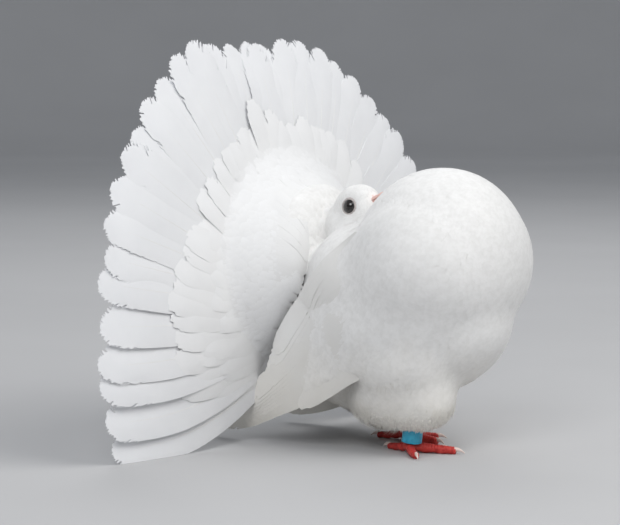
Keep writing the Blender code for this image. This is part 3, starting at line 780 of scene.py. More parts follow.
# ------------------------------------------------------------------ big vanes
def vane_sheet(length, w_out, w_in, r, rows=84, cols=(0, 0.28, 0.55, 0.76, 0.9, 1.0), tip=0.12, sweep=1.0,
               jag=1.0, split=0.5, base=0.6, pack_tip=1.45, side_jag=0.12, start=0.66):
    """One feather's vane as an open sheet, built barb by barb, in its own
    axes: a along the shaft, x across it. Returns verts (a, x), quads and uv."""
    cols = np.array(cols)
    verts, faces, uv = [], [], []
    centre = None
    grid = np.linspace(0, 1, 600)
    for side, width in ((1, w_out), (-1, w_in)):
        grow = base + (1 - base) * np.clip(grid / 0.6, 0, 1) ** 0.8
        t = np.clip((grid - (1 - tip)) / tip, 0, 1)
        cap = np.maximum(1 - t ** 2.3, 0) ** 0.52
        half = width * grow * cap
        a_end = grid * length
        a_start = a_end - sweep * half
        a_start = np.maximum.accumulate(a_start + np.arange(600) * 1e-6)
        # roots of the barbs along the shaft, closer together near the tip
        roots = length * (1 - (1 - np.linspace(0, 1, rows)) ** pack_tip)
        ends = np.interp(roots, a_start, a_end)
        wide = np.interp(ends, a_end, half)
        gap = np.gradient(roots)
        # barbs hold together in little bundles, which split at the margin
        bundle = np.zeros(rows, int)
        k, c = 0, 0
        while k < rows:
            m = int(r.integers(2, 6))
            bundle[k:k + m] = c
            c += 1
            k += m
        mid = np.array([np.mean(np.nonzero(bundle == b)[0]) for b in range(c)])
        size = np.array([max(1.0, (bundle == b).sum() / 2) for b in range(c)])
        off = np.arange(rows) - mid[bundle]
        u = np.clip((ends / length - start) / (0.93 - start), 0, 1)
        tipness = u * u * (3 - 2 * u)
        reach = (r.normal(0, 0.34, c)[bundle] * jag - 0.55 * jag * (np.abs(off) / size[bundle]) ** 1.6
                 + r.uniform(-0.30, 0.30, rows) * jag) * tipness
        reach += r.normal(0, side_jag, rows)
        ids = np.empty((rows, len(cols)), int)
        for i in range(rows):
            da, dx = ends[i] - roots[i], wide[i]
            span = math.hypot(da, dx) + 1e-6
            f = 1 + np.clip(reach[i] / max(span, 3.0), -0.5, 0.3)
            for j, t in enumerate(cols):
                if j == 0 and side == -1:
                    ids[i, 0] = centre[i]
                    continue
                a = roots[i] + da * (0.72 * t + 0.28 * t * t) * (1 + (f - 1) * t)
                a -= off[i] * gap[i] * 0.5 * t ** 3 * tipness[i]
                x = side * dx * (1.14 * t - 0.14 * t * t) * (1 + (f - 1) * t)
                ids[i, j] = len(verts)
                verts.append((min(a, length * 1.02), x))
                uv.append((t * 0.5 * side + 0.5, i / rows))
        if side == 1:
            centre = ids[:, 0].copy()
        for i in range(rows - 1):
            last = len(cols) - 1
            if bundle[i] != bundle[i + 1]:
                if r.random() < 0.01 + min(jag, 1.0) * 0.75 * tipness[i]:
                    last -= 1
                    if r.random() < split * tipness[i]:
                        last -= 1
                        if r.random() < 0.16 * tipness[i]:
                            last -= 1
            for j in range(max(last, 1)):
                quad = (ids[i, j], ids[i, j + 1], ids[i + 1, j + 1], ids[i + 1, j])
                faces.append(quad if side == 1 else quad[::-1])
    return np.array(verts), np.array(faces), np.array(uv)


def wobble(i, k=1.0):
    return math.sin(12.9898 * i * k + 4.1) * 0.6 + math.sin(7.233 * i * k + 1.3) * 0.4


def fan_point(phi_tip, share, lift, radius):
    phi_tip, share = np.broadcast_arrays(np.asarray(phi_tip, float), np.asarray(share, float))
    w = np.clip((np.abs(phi_tip) - 60.0) / 60.0, 0, 1)
    w = (w * w * (3 - 2 * w)) ** 2
    phi = np.radians(phi_tip * (1.0 + FAN_CURL * w * (1.0 - share)))
    r = radius * share
    tip_x = FAN_TIP_X + FAN_DISH * np.sin(np.radians(phi_tip)) ** 2
    x = FAN_ROOT_X + (tip_x - FAN_ROOT_X) * np.maximum(share, 0) ** 1.3
    z = FAN_CENTRE_Z + r * np.cos(phi)
    return np.stack([x + lift, -r * np.sin(phi), z], -1)


def fan_radius(phi, i):
    return FAN_RADIUS - FAN_TOP_DIP * math.exp(-(phi / 12.0) ** 2) + 2.4 * wobble(i)


def fan_vane(heap, shafts, phi, radius, r0, w_out, w_in, side, tilt, lift, r, rows, cols, jag=1.0, back=0.0,
             tip=0.12, split=0.5, bend=0.0, base=0.6, ruffle=0.5, shaft=0.38, lift_tip=None, cup=0.6, over=None,
             side_jag=0.10, sink=0.0):
    """Lays one vane on the fan. side +1 runs its outer edge towards the
    bird's right. back bends the tip backwards, in mm."""
    length = radius - r0
    v, f, uv = vane_sheet(length, w_out, w_in, r, rows=rows, cols=cols, jag=jag, tip=tip, split=split, base=base,
                          side_jag=side_jag)
    a, x = v[:, 0], v[:, 1] * side
    share = (r0 + a) / radius
    c = fan_point(np.full(len(a), phi), share, 0.0, radius)
    e = 0.01
    c2 = fan_point(np.full(len(a), phi), share + e, 0.0, radius)
    c3 = fan_point(np.full(len(a), phi), share - e, 0.0, radius)
    tan = unit(c2 - c3)
    nx = np.array([1.0, 0, 0])
    lat = unit(np.cross(tan, nx) * 1.0)
    if (lat[0] @ np.array([0, -math.cos(math.radians(phi)), -math.sin(math.radians(phi))])) < 0:
        lat = -lat
    nor = unit(np.cross(lat, tan))
    nor = np.where(nor[:, :1] < 0, -nor, nor)
    q = np.clip(a / length, 0, 1)
    xs = v[:, 1]
    wide = max(w_out, w_in)
    h = lift + (0 if lift_tip is None else (lift_tip - lift) * q) + tilt * xs / wide * (0.75 + 0.25 * q)
    h += -cup * (xs / wide) ** 2 * (0.5 + 0.5 * q)
    h -= back * np.clip((q - 0.7) / 0.3, 0, 1) ** 2 + sink * np.clip(1 - q / 0.3, 0, 1) ** 1.3
    wave = r.normal(0, 1, 3)
    edge = np.abs(xs) / max(w_out, w_in)
    h += ruffle * edge ** 2 * q * (wave[0] * np.sin(q * 9 + wave[1] * 3) + 0.5 * wave[2] * np.sin(q * 21 + wave[0]))
    p = c + lat * (x + bend * q ** 2 * length * 0.02)[:, None] + nor * h[:, None]
    if over is not None:
        p[:, 0] = over(p[:, 1], p[:, 2]) + h
    p[:, 2] = np.maximum(p[:, 2], 0.25)
    root = fan_point(phi, 0.16, 0.0, radius)
    uvb = chart(root[None], np.array([[1.0 if tilt >= 0 else -1.0, 0, 0]]))[0] + (uv - 0.5) * PATCH
    heap.add(p, f, uvb, uv)
    if shafts is not None and shaft > 0:
        k = 26
        qs = np.linspace(0, 0.985, k)
        ac = qs * length
        sh = (r0 + ac) / radius
        cc = fan_point(np.full(k, phi), sh, 0.0, radius)
        t2 = unit(fan_point(np.full(k, phi), sh + e, 0, radius) - fan_point(np.full(k, phi), sh - e, 0, radius))
        l2 = unit(np.cross(t2, nx))
        n2 = unit(np.cross(l2, t2))
        n2 = np.where(n2[:, :1] < 0, -n2, n2)
        hh = lift + (0 if lift_tip is None else (lift_tip - lift) * qs) - back * np.clip((qs - 0.7) / 0.3, 0, 1) ** 2
        cc = cc + n2 * hh[:, None] + (l2 if (l2[0] @ lat[0]) > 0 else -l2) * (bend * qs ** 2 * length * 0.02)[:, None]
        rad = shaft * (1 - qs) ** 0.8 + 0.10
        ring = []
        for t in np.linspace(0, 2 * math.pi, 6, endpoint=False):
            ring.append(cc + l2 * (rad * 0.9 * math.cos(t))[:, None] + n2 * (rad * math.sin(t))[:, None])
        ring = np.stack(ring, 1)
        ring[:, :, 2] = np.maximum(ring[:, :, 2], 0.2)
        vv = ring.reshape(-1, 3)
        ff = []
        for i in range(k - 1):
            for j in range(6):
                jj = (j + 1) % 6
                ff.append((i * 6 + j, i * 6 + jj, (i + 1) * 6 + jj, (i + 1) * 6 + j))
        ff += [(0, 5, 4, 3), (0, 3, 2, 1), ((k - 1) * 6, (k - 1) * 6 + 1, (k - 1) * 6 + 2, (k - 1) * 6 + 3),
               ((k - 1) * 6, (k - 1) * 6 + 3, (k - 1) * 6 + 4, (k - 1) * 6 + 5)]
        uvs = np.tile(chart(root[None], np.array([[1.0, 0, 0]])), (len(vv), 1)) + rng.uniform(-0.4, 0.4, (len(vv), 2)) * PATCH
        shafts.add(vv, np.array(ff), uvs, np.tile(np.array([[0.5, 0.9]]), (len(vv), 1)))


def solid(o, thickness):
    s = o.modifiers.new("thickness", "SOLIDIFY")
    s.thickness = thickness * 0.001
    s.offset = 0.0
    s.use_rim = True
    apply_all(o)
    o.data.shade_smooth()
    o.data.set_sharp_from_angle(angle=math.radians(55))
    return o


PIECES = []


def piece(o, *materials, body="root", slot=None):
    if materials:
        o.data.materials.clear()
        for m in materials:
            o.data.materials.append(m)
    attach(o, body)
    PIECES.append(o)
    return o


# ------------------------------------------------------------------- tail fan
STEP = FAN_EDGE / FEATHERS_PER_SIDE
shaft_heap = Heap()
COLS = (0, 0.34, 0.64, 0.85, 0.95, 1.0)
groups = {"tail_feathers_top": Heap(), "tail_feathers_right": Heap(), "tail_feathers_left": Heap()}
for side in (1, -1):
    for j in range(FEATHERS_PER_SIDE):
        r = np.random.default_rng(500 + j * 2 + (side > 0))
        phi = (j + 0.52) * STEP * side + r.normal(0, 0.7)
        full = fan_radius((j + 0.5) * STEP, j * side + 3) + 2.0 + r.normal(0, 1.6)
        heap = groups["tail_feathers_top"] if j < 6 else groups["tail_feathers_right" if side > 0 else "tail_feathers_left"]
        wide = 11.6 + r.normal(0, 0.5)
        fan_vane(heap, shaft_heap, phi, full, 34.0, wide, wide + 1.6, side, 1.25 * r.uniform(0.88, 1.15),
                 0.35, r, rows=124, cols=COLS, jag=0.75 + r.random() * 0.4,
                 back=1.6 + r.random() * 1.8, tip=0.115 + 0.02 * r.random(), ruffle=0.4, cup=0.85,
                 bend=r.normal(0, 0.5), split=0.4, shaft=0.30, side_jag=0.06)
r = np.random.default_rng(77)
fan_vane(groups["tail_feathers_top"], shaft_heap, 0.3, fan_radius(0, 3) + 1.0, 34.0, 11.6, 12.0, 1, 0.0, 1.1, r,
         rows=124, cols=COLS, jag=0.9, back=2.0, shaft=0.30, side_jag=0.06)
for name, node in (("tail_feathers_top", "tail_fan_top"), ("tail_feathers_right", "tail_fan_right"),
                   ("tail_feathers_left", "tail_fan_left")):
    o = solid(groups[name].make(name, sharp=None), 0.26)
    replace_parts(piece(o, M_FAN, slot="tail_feathers"), node)
piece(shaft_heap.make("tail_shafts", sharp=50), M_SHAFT, slot="tail_feathers")


# --------------------------------------- coverts over the fan, front and back
def fan_face(y, z):
    """X of the middle of the fan at points across it."""
    r = np.hypot(y, z - FAN_CENTRE_Z)
    s = np.sin(np.arctan2(-y, z - FAN_CENTRE_Z))
    tip_x = FAN_TIP_X + FAN_DISH * s ** 2
    return FAN_ROOT_X + (tip_x - FAN_ROOT_X) * (r / FAN_RADIUS) ** 1.3


def rise(u):
    u = np.clip(u, 0, 1)
    return 1 - u * u * (3 - 2 * u)


def front_x(y, z):
    """The surface of the tail's cushion of coverts, running out on the fan."""
    rho = np.hypot(y / 50.0, (z - 108.0) / 45.0)
    face = fan_face(y, z)
    dome = -35.0 + 17.0 * np.sqrt(np.maximum(1 - rho ** 2, 0))
    dome = np.where(rho < 1, dome, -999)
    return np.maximum(np.maximum(dome, face + 28.0 * rise((rho - 0.70) / 0.85)), face + 2.1)


REAR_SEAT = 0.78
seat_th = np.linspace(0, 2 * math.pi, 97)
seat_x = []
for t in seat_th[:-1]:
    y, z = -40.0 * REAR_SEAT * math.sin(t), 66.0 + 40.0 * REAR_SEAT * math.cos(t)
    hit = tree.ray_cast(Vector((-300.0, y, z)), Vector((1.0, 0.0, 0.0)))[0]
    seat_x.append(hit.x if hit is not None and hit.x < -50 else -70.0)
seat_x = np.array(seat_x)
for _ in range(6):
    seat_x = (np.roll(seat_x, 1) + 2 * seat_x + np.roll(seat_x, -1)) / 4
seat_x = np.append(seat_x, seat_x[0])


def rear_x(y, z):
    """The coverts behind the fan, from the undertail's dome out on the vanes."""
    a, b = -y / 40.0, (z - 66.0) / 40.0
    rho, th = np.hypot(a, b), np.mod(np.arctan2(a, b), 2 * math.pi)
    face = fan_face(y, z)
    x0 = np.interp(th, seat_th, seat_x)
    face0 = fan_face(-40.0 * REAR_SEAT * np.sin(th), 66.0 + 40.0 * REAR_SEAT * np.cos(th))
    out = face + (x0 - face0 - 0.1) * leave((rho - REAR_SEAT) / (1.75 - REAR_SEAT))
    return np.minimum(out, face - 2.4 + 2.6 * (1 - rise((rho - 1.30) / 0.55)))


def in_fan(y, z, inset=3.0):
    """Whether points across the fan lie within its spread."""
    phi = np.degrees(np.abs(np.arctan2(-y, z - FAN_CENTRE_Z)))
    r = np.hypot(y, z - FAN_CENTRE_Z)
    return phi < FAN_EDGE * (1 + FAN_CURL * np.clip(1 - r / FAN_RADIUS, 0, 1)) - inset


def leave(u, slope=-0.78):
    """Falls from 1 to 0, starting at a slope and ending level."""
    u = np.clip(u, 0, 1)
    return 2 * u ** 3 - 3 * u * u + 1 + slope * (u ** 3 - 2 * u * u + u)


def guide(surface, centre, scale, reach, sign):
    """A closest-point finder for one of those surfaces."""
    th = np.linspace(0, 2 * math.pi, 97)[:-1]
    rho = np.linspace(0.02, reach, 44)
    R, T = np.meshgrid(rho, th, indexing="ij")
    y = centre[0] - scale[0] * R * np.sin(T)
    z = centre[1] + scale[1] * R * np.cos(T)
    v = np.stack([surface(y, z), y, z], -1).reshape(-1, 3)
    f = []
    for i in range(len(rho) - 1):
        for j in range(96):
            k = (j + 1) % 96
            f.append((i * 96 + j, i * 96 + k, (i + 1) * 96 + k))
            f.append((i * 96 + j, (i + 1) * 96 + k, (i + 1) * 96 + j))
    f = np.array(f)
    vn = vertex_normals(v, f)
    if (vn[:, 0].mean() > 0) != (sign > 0):
        vn = -vn
    fnrm = unit(vn[f].mean(1))
    t = BVHTree.FromPolygons(v.tolist(), f.tolist())

    def on(p):
        q, n = np.empty_like(p), np.empty_like(p)
        for i, x in enumerate(p):
            loc, _, k, _ = t.find_nearest(x)
            q[i] = loc
            n[i] = fnrm[k]
        return q, n

    return on


on_front = guide(front_x, (0.0, 108.0), (50.0, 45.0), 2.6, 1)
on_rear = guide(rear_x, (0.0, 66.0), (40.0, 40.0), 3.0, -1)


def outside(p, by=0.5):
    q, n = nearest(p)
    return ((p - q) * n).sum(1) > by


def skirt(heap, on, surface, centre, scale, hub, rings, seed, depth=1.2, lift=(0.25, 0.45), soft=0.6, by=0.5):
    """Rings of coverts spreading over the fan. rings: (rho, length, width)."""
    r = np.random.default_rng(seed)
    for k, (rho, length, width) in enumerate(rings):
        n = int(2 * math.pi * max(scale) * rho / (width * 0.52))
        th = (np.arange(n) + 0.5 * (k % 2) + r.uniform(-0.25, 0.25, n)) * 2 * math.pi / n
        rr = rho * (1 + r.normal(0, 0.02, n))
        y = centre[0] - scale[0] * rr * np.sin(th)
        z = centre[1] + scale[1] * rr * np.cos(th)
        x = surface(y, z)
        p = np.stack([x, y, z], -1)
        keep = outside(p, by) & (z > 12) & in_fan(y, z)
        p = p[keep]
        if not len(p):
            continue
        _, nrm = on(p)
        d = p - np.array([0.0, hub[0], hub[1]])
        d[:, 0] = 0
        d = unit(d)
        d = unit(d - nrm * (d * nrm).sum(1, keepdims=True))
        m = len(p)
        leaves(heap, p, nrm, d, length * r.uniform(0.85, 1.15, m), width * r.uniform(0.85, 1.15, m),
               np.full(m, depth), np.full(m, lift[0] * min(1.0, max(0.2, (rho - 0.68) / 0.3))),
               lift[1] * r.uniform(0.7, 1.3, m), seed=seed + k, yaw=0.08,
               thick=0.10, camber=0.20, soft=soft, on=on)


front = Heap()
for count, tipr, r0, wide, lift0, lift1, tip in ((44, 112, 40, 8.8, 0.2, 0.2, 0.20), (48, 94, 38, 7.8, 0.5, 0.5, 0.24)):
    for i in range(count):
        r = np.random.default_rng(900 + int(tipr) * 100 + i)
        phi = -FAN_EDGE + (i + 0.5) * 2 * FAN_EDGE / count + r.normal(0, 1.2)
        side = 1 if phi > 0 else -1
        fan_vane(front, None, phi, tipr + r.normal(0, 5.5), r0, wide, wide, side, 0.4, lift0 + 0.15 * r.random(), r,
                 rows=36, cols=(0, 0.35, 0.7, 1.0), jag=0.12, tip=tip, split=0.05, base=0.55, ruffle=0.3, shaft=0,
                 lift_tip=lift1, cup=0.5, over=front_x, side_jag=0.03, sink=2.0, back=1.5 + 0.5 * r.random())
    fan_vane(front, None, 0.0, tipr + 1.0, r0, wide + 1.0, wide + 1.0, 1, 0.0, lift0 + 0.3, np.random.default_rng(990),
             rows=36, cols=(0, 0.35, 0.7, 1.0), jag=0.12, tip=tip, split=0.05, base=0.55, ruffle=0.1, shaft=0,
             lift_tip=lift1 + 0.3, cup=0.6, over=front_x, side_jag=0.03, sink=2.0, back=2.0)
piece(solid(front.make("tail_coverts_front", sharp=None), 0.2), M_COVERT, slot="plumage")
fluff = Heap()
skirt(fluff, on_front, front_x, (0.0, 108.0), (50.0, 45.0), (0.0, 74.0),
      [(q, 13 + 7 * (q - 0.7) / 0.7, 4.2 + 2.4 * (q - 0.7) / 0.7) for q in np.arange(1.26, 0.71, -0.045)], 700,
      lift=(0.75, -0.55), soft=0.8)
piece(fluff.make("cushion_coverts"), M_COVERT, slot="plumage")
rear = Heap()
skirt(rear, on_rear, rear_x, (0.0, 66.0), (40.0, 40.0), (0.0, 66.0),
      [(q, 14 + 11 * (q - 0.7) / 1.2, 4.6 + 3.0 * (q - 0.7) / 1.2) for q in np.arange(1.58, 0.70, -0.05)], 760,
      lift=(0.6, -0.3), soft=0.75, by=-0.6)
piece(rear.make("tail_coverts_rear"), M_BODY, slot="plumage")

# --------------------------------------------------------- the wings' quills
def wing_vane(heap, t0, w0, t1, w1, wide_low, wide_top, lift0, lift1, side, r, rows=60,
              cols=(0, 0.35, 0.65, 0.87, 1.0), jag=1.2, tip=0.16, bow=0.0):
    k = 24
    qs = np.linspace(0, 1, k)
    line = wing_point(t0 + (t1 - t0) * qs, w0 + (w1 - w0) * qs + bow * np.sin(qs * math.pi), 0, side)
    seg = np.concatenate([[0], np.cumsum(np.linalg.norm(np.diff(line, axis=0), axis=1))])
    length = seg[-1]
    v, f, uv = vane_sheet(length, wide_low, wide_top, r, rows=rows, cols=cols, jag=jag, tip=tip, base=0.6,
                          split=0.25, side_jag=0.04)
    q = np.interp(v[:, 0], seg, qs)
    over = np.maximum(v[:, 0] - length, 0)
    t = t0 + (t1 - t0) * q
    w = w0 + (w1 - w0) * q + bow * np.sin(q * math.pi)
    base = wing_point(t, w, 0, side)
    up = wing_point(t, w + 0.02, 0, side) - wing_point(t, w - 0.02, 0, side)
    fwd = wing_point(np.minimum(t + 0.01, 1.0), w, 0, side) - wing_point(t - 0.01, w, 0, side)
    fwd = unit(fwd)
    up = unit(up - fwd * (up * fwd).sum(1, keepdims=True))
    out = np.cross(fwd, up)
    out = np.where(out[:, 1:2] * side < 0, -out, out)
    x = -v[:, 1]
    # its root lies under the feathers before it
    h = lift0 + (lift1 - lift0) * q - 1.3 * np.clip(1 - q / 0.34, 0, 1) ** 1.2
    h += 0.25 * x / max(wide_low, wide_top) - 0.35 * (x / max(wide_low, wide_top)) ** 2
    p = base + up * x[:, None] + fwd * over[:, None] + out * h[:, None]
    p[:, 2] = np.maximum(p[:, 2], 0.6)
    root = base[0]
    uvb = chart(root[None], np.array([[0, float(side), 0]]))[0] + (uv - 0.5) * PATCH
    if side > 0:
        f = f[:, ::-1]
    heap.add(p, f, uvb, uv)


for side, tag in ((-1, "r"), (1, "l")):
    heap = Heap()
    # primaries, from the lowest and longest upwards
    for j in range(10):
        r = np.random.default_rng(3000 + j + (side > 0) * 50)
        wing_vane(heap, 0.50, 0.06 + 0.05 * j, 1.0 - 0.016 * j, 0.16 + 0.062 * j, 5.5, 6.5, 0.1 + 0.04 * j,
                  0.1 + 0.26 * j, side, r, rows=56, tip=0.13, jag=0.35)
    # secondaries over them
    for j in range(10):
        r = np.random.default_rng(3300 + j + (side > 0) * 50)
        wing_vane(heap, 0.46, 0.34 + 0.066 * j, 0.86 - 0.016 * j + 0.008 * wobble(j), 0.30 + 0.075 * j, 6.5, 7.0,
                  0.15 + 0.03 * j, 0.8 + 0.15 * j, side, r, rows=44, tip=0.15, jag=0.3)
    # greater coverts
    for j in range(15):
        r = np.random.default_rng(3600 + j + (side > 0) * 50)
        wing_vane(heap, 0.40, 0.03 + 0.066 * j, 0.655 + 0.012 * wobble(j), 0.04 + 0.067 * j, 5.6, 5.6,
                  0.30 + 0.01 * j, -0.15, side, r, rows=30, cols=(0, 0.4, 0.75, 1.0), tip=0.26, jag=0.15)
    o = solid(heap.make("wing_feathers_" + tag, sharp=None), 0.26)
    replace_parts(piece(o, M_WING, slot="wing_feathers"), "wing_" + tag)

# ------------------------------------------------------------ body feathers
IDX = {k: i for i, k in enumerate(REGIONS)}


def eye_gap(p):
    h = to_head(p)
    return np.hypot(h[:, 0] - EYE_AT[0], h[:, 2] - EYE_AT[2]) + np.where(np.abs(h[:, 1]) < 5, 99, 0)


def bill_gap(p):
    h = to_head(p)
    d = np.hypot(h[:, 1] / 5.2, (h[:, 2] + 1.2) / 4.6)
    return np.where(h[:, 0] > 6, d, 9.0)


def covered(p, n):
    """Where no root is set: in the eyes, on the bill, where the fan passes through,
    and between the fan and the cushion of coverts over it."""
    bad = eye_gap(p) < 4.35
    bad |= (bill_gap(p) < 1.0) & (to_head(p)[:, 0] > 11) & (to_head(p)[:, 0] < 19)
    r = np.hypot(p[:, 1], p[:, 2] - FAN_CENTRE_Z)
    fx = fan_x(r)
    bad |= (np.abs(p[:, 0] - fx - 0.6) < 2.0) & (r > 24)
    rho = np.hypot(p[:, 1] / 50.0, (p[:, 2] - 108.0) / 45.0)
    bad |= (p[:, 0] < front_x(p[:, 1], p[:, 2]) - 1.2) & (p[:, 0] > fx) & (rho > 0.7) & (rho < 1.4) & (p[:, 2] > 75)
    return bad


def spacing_body(p, n):
    w, d, t, ww = lie(p, n)
    size = np.zeros(len(p))
    table = {"head": 1.05, "neck": 1.5, "breast": 1.7, "belly": 1.8, "back": 1.9, "rump": 2.3, "cushion": 1.9,
             "under": 2.3, "thigh_r": 1.8, "thigh_l": 1.8, "wing_r": 1.85, "wing_l": 1.85, "vent": 2.0}
    for k, s in table.items():
        size += w[:, IDX[k]] * s
    e = eye_gap(p)
    size = np.where(e < 9, np.minimum(size, 0.72 + 0.045 * e), size)
    h = to_head(p)
    front_face = (w[:, IDX["head"]] > 0.4) & (h[:, 0] > 6)
    size = np.where(front_face, np.minimum(size, 0.9), size)
    # the quills and their coverts cover the rear half of each wing
    wing = (w[:, IDX["wing_r"]] + w[:, IDX["wing_l"]] > 0.5) & (np.abs(n[:, 1]) > 0.45) & (n[:, 1] * p[:, 1] > 0)
    size[wing & (t > 0.57)] = 99
    size[covered(p, n)] = 99
    return size


count = 330000
P, N, SP = scatter(count, spacing_body, 11)
Wt, D, TT, WWW = lie(P, N)
region = np.argmax(Wt, axis=1)
length_table = {"head": 4.0, "neck": 6.5, "breast": 8.5, "belly": 9.5, "back": 10, "rump": 11, "cushion": 10.5,
                "under": 13, "thigh_r": 9.5, "thigh_l": 9.5, "wing_r": 10.5, "wing_l": 10.5, "vent": 11}
LEN = sum(Wt[:, IDX[k]] * v for k, v in length_table.items())
e = eye_gap(P)
LEN = np.where(e < 9, np.minimum(LEN, 1.3 + 0.17 * e), LEN)
hh = to_head(P)
face = (Wt[:, IDX["head"]] > 0.4) & (hh[:, 0] > 5)
LEN = np.where(face, np.minimum(LEN, 3.1), LEN)
LEN *= np.random.default_rng(5).uniform(0.88, 1.1, len(P))
on_head = Wt[:, IDX["head"]]
WID = np.clip(SP * (2.15 - 0.2 * on_head), 1.1, 6.5)
soft = Wt[:, IDX["thigh_r"]] + Wt[:, IDX["thigh_l"]] + Wt[:, IDX["vent"]]
DEP = np.clip(LEN * 0.09, 0.25, 0.9)
vary = np.random.default_rng(6).uniform(0.0, 1.0, len(P))
H1 = np.clip(LEN * 0.010, 0.02, 0.10) + 0.12 * soft
H2 = -np.clip(LEN * (0.006 + 0.014 * vary), 0.04, 0.18) - 0.12 * on_head + (0.1 + 0.35 * vary) * soft
SOFT = np.where(soft > 0.5, 0.72, 0.82)
names = (("face_and_head", np.isin(region, [IDX["head"], IDX["neck"]])),
         ("breast_and_belly", np.isin(region, [IDX["breast"], IDX["belly"], IDX["back"], IDX["rump"]])),
         ("tail_cushion", np.isin(region, [IDX["cushion"], IDX["under"]])),
         ("wing_coverts", np.isin(region, [IDX["wing_r"], IDX["wing_l"]])),
         ("thigh_feathers", np.isin(region, [IDX["thigh_r"], IDX["thigh_l"], IDX["vent"]])))
made = {}
for k, (name, pick) in enumerate(names):
    heap = Heap()
    s = pick
    leaves(heap, P[s], N[s], D[s], LEN[s], WID[s], DEP[s], H1[s], H2[s], seed=40 + k,
           thick=0.02 if k == 0 else 0.05, camber=0.12 if k == 0 else 0.13, soft=(0.85, 0.76, 0.78, 0.78, 0.72)[k],
           yaw=0.06 if k == 0 else 0.10)
    o = heap.make(name)
    made[name] = piece(o, M_BODY, slot="plumage")
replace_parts(piece(SKIN, slot="plumage"), "trunk", "neck", "head", "tail_coverts_upper", "tail_coverts_under", "thigh_r", "thigh_l")


# ---------------------------------------------------- down on legs and belly
def spacing_down(p, n):
    w, d, t, ww = lie(p, n)
    th = w[:, IDX["thigh_r"]] + w[:, IDX["thigh_l"]]
    low = (w[:, IDX["vent"]] + w[:, IDX["belly"]] > 0.5) & (p[:, 2] < 45) & (n[:, 2] < 0.1)
    size = np.where((th > 0.5) | low, 1.7 + 0.9 * np.clip((p[:, 2] - 24) / 24, 0, 1), 99)
    size[covered(p, n)] = 99
    return size


P2, N2, SP2 = scatter(90000, spacing_down, 12)
W2, D2, _, _ = lie(P2, N2)
th = W2[:, IDX["thigh_r"]] + W2[:, IDX["thigh_l"]]
heap = Heap()
rim = (P2[:, 2] < 26) & (th > 0.5)
low_k = np.clip((34.0 - P2[:, 2]) / 18.0, 0, 1)
ln = 9.5 - 2.5 * low_k
ring_near = np.hypot(P2[:, 0] - 50.0, P2[:, 1] + 19.0)
toward_camera = (P2[:, 0] - 50.0) * 0.57 - (P2[:, 1] + 19.0) * 0.82
ln = np.where((ring_near < 26) & (toward_camera > -6) & (P2[:, 1] < 6), 2.6, ln)
keep = ring_near > 8.5
D2 = unit(D2 + np.array([0, 0, -0.5]) * rim[:, None])
blades(heap, P2[keep], N2[keep], D2[keep], ln[keep], np.full(keep.sum(), 0.36), np.full(keep.sum(), 0.7),
       (0.22 + 0.6 * low_k)[keep], 0.4, per=4, spread=0.26)
o = heap.make("down_tufts", sharp=70)
piece(o, M_DOWN, slot="plumage")

# ------------------------------------------------------------------ eyes
M_EYE = plain_material("eye_dark", ((0.3, (0.006, 0.005, 0.005)), (0.8, (0.016, 0.010, 0.008))), 700.0, 0.09, 900.0,
                       0.01, coat=0.7, spec=0.35)
M_LID = plain_material("eyelid", ((0.3, (0.40, 0.36, 0.35)), (0.75, (0.60, 0.55, 0.53))), 900.0, 0.55, 2500.0, 0.4,
                       distance=0.0001)
for side, tag in ((-1, "r"), (1, "l")):
    bm = bmesh.new()
    bmesh.ops.create_uvsphere(bm, u_segments=48, v_segments=28, radius=EYE_RADIUS)
    me = bpy.data.meshes.new("eye_" + tag)
    t = HEAD @ Matrix.Translation((EYE_AT[0], EYE_AT[1] * side, EYE_AT[2])) @ Matrix.Rotation(math.radians(90), 4, "X")
    bmesh.ops.transform(bm, matrix=Matrix.Scale(0.001, 4) @ Matrix.Translation(SHIFT) @ t, verts=bm.verts)
    bm.to_mesh(me)
    bm.free()
    me.shade_smooth()
    o = bpy.data.objects.new("eyeball_" + tag, me)
    bpy.context.scene.collection.objects.link(o)
    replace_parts(piece(o, M_EYE, slot="eye"), "eye_" + tag)
    # the lids: a soft band that hugs the ball and runs out under the feathers
    nu = 72
    u = np.linspace(0, 2 * math.pi, nu, endpoint=False)[:, None]
    band = np.array([(3.98, 2.20), (4.02, 2.58), (4.20, 2.74), (4.45, 2.72), (4.75, 2.50), (5.20, 2.15), (5.85, 1.45),
                     (5.85, 0.9), (4.9, 0.9), (4.2, 1.2)])
    nv = len(band)
    rr = band[None, :, 0] + 0.05 * np.cos(2 * u) + 0.03 * np.sin(u * 21) * (band[None, :, 1] > 2.3)
    hgt = np.repeat(band[None, :, 1], nu, 0)
    lx, lz = rr * np.cos(u), rr * np.sin(u) * 0.97
    tilt = math.radians(10.0)
    x = EYE_AT[0] + lx * math.cos(tilt) + hgt * math.sin(tilt)
    z = EYE_AT[2] + lz
    y = side * (EYE_AT[1] - lx * math.sin(tilt) + hgt * math.cos(tilt))
    pts = head_pts(np.stack([x, y, z], -1).reshape(-1, 3))
    faces = np.array([(i * nv + j, ((i + 1) % nu) * nv + j, ((i + 1) % nu) * nv + (j + 1) % nv, i * nv + (j + 1) % nv)
                      for i in range(nu) for j in range(nv)])
    o = build_mesh("eyelid_" + tag, pts, faces)
    bm = bmesh.new()
    bm.from_mesh(o.data)
    bmesh.ops.recalc_face_normals(bm, faces=bm.faces)
    bm.to_mesh(o.data)
    bm.free()
    o.data.shade_smooth()
    piece(o, M_LID, slot="plumage")

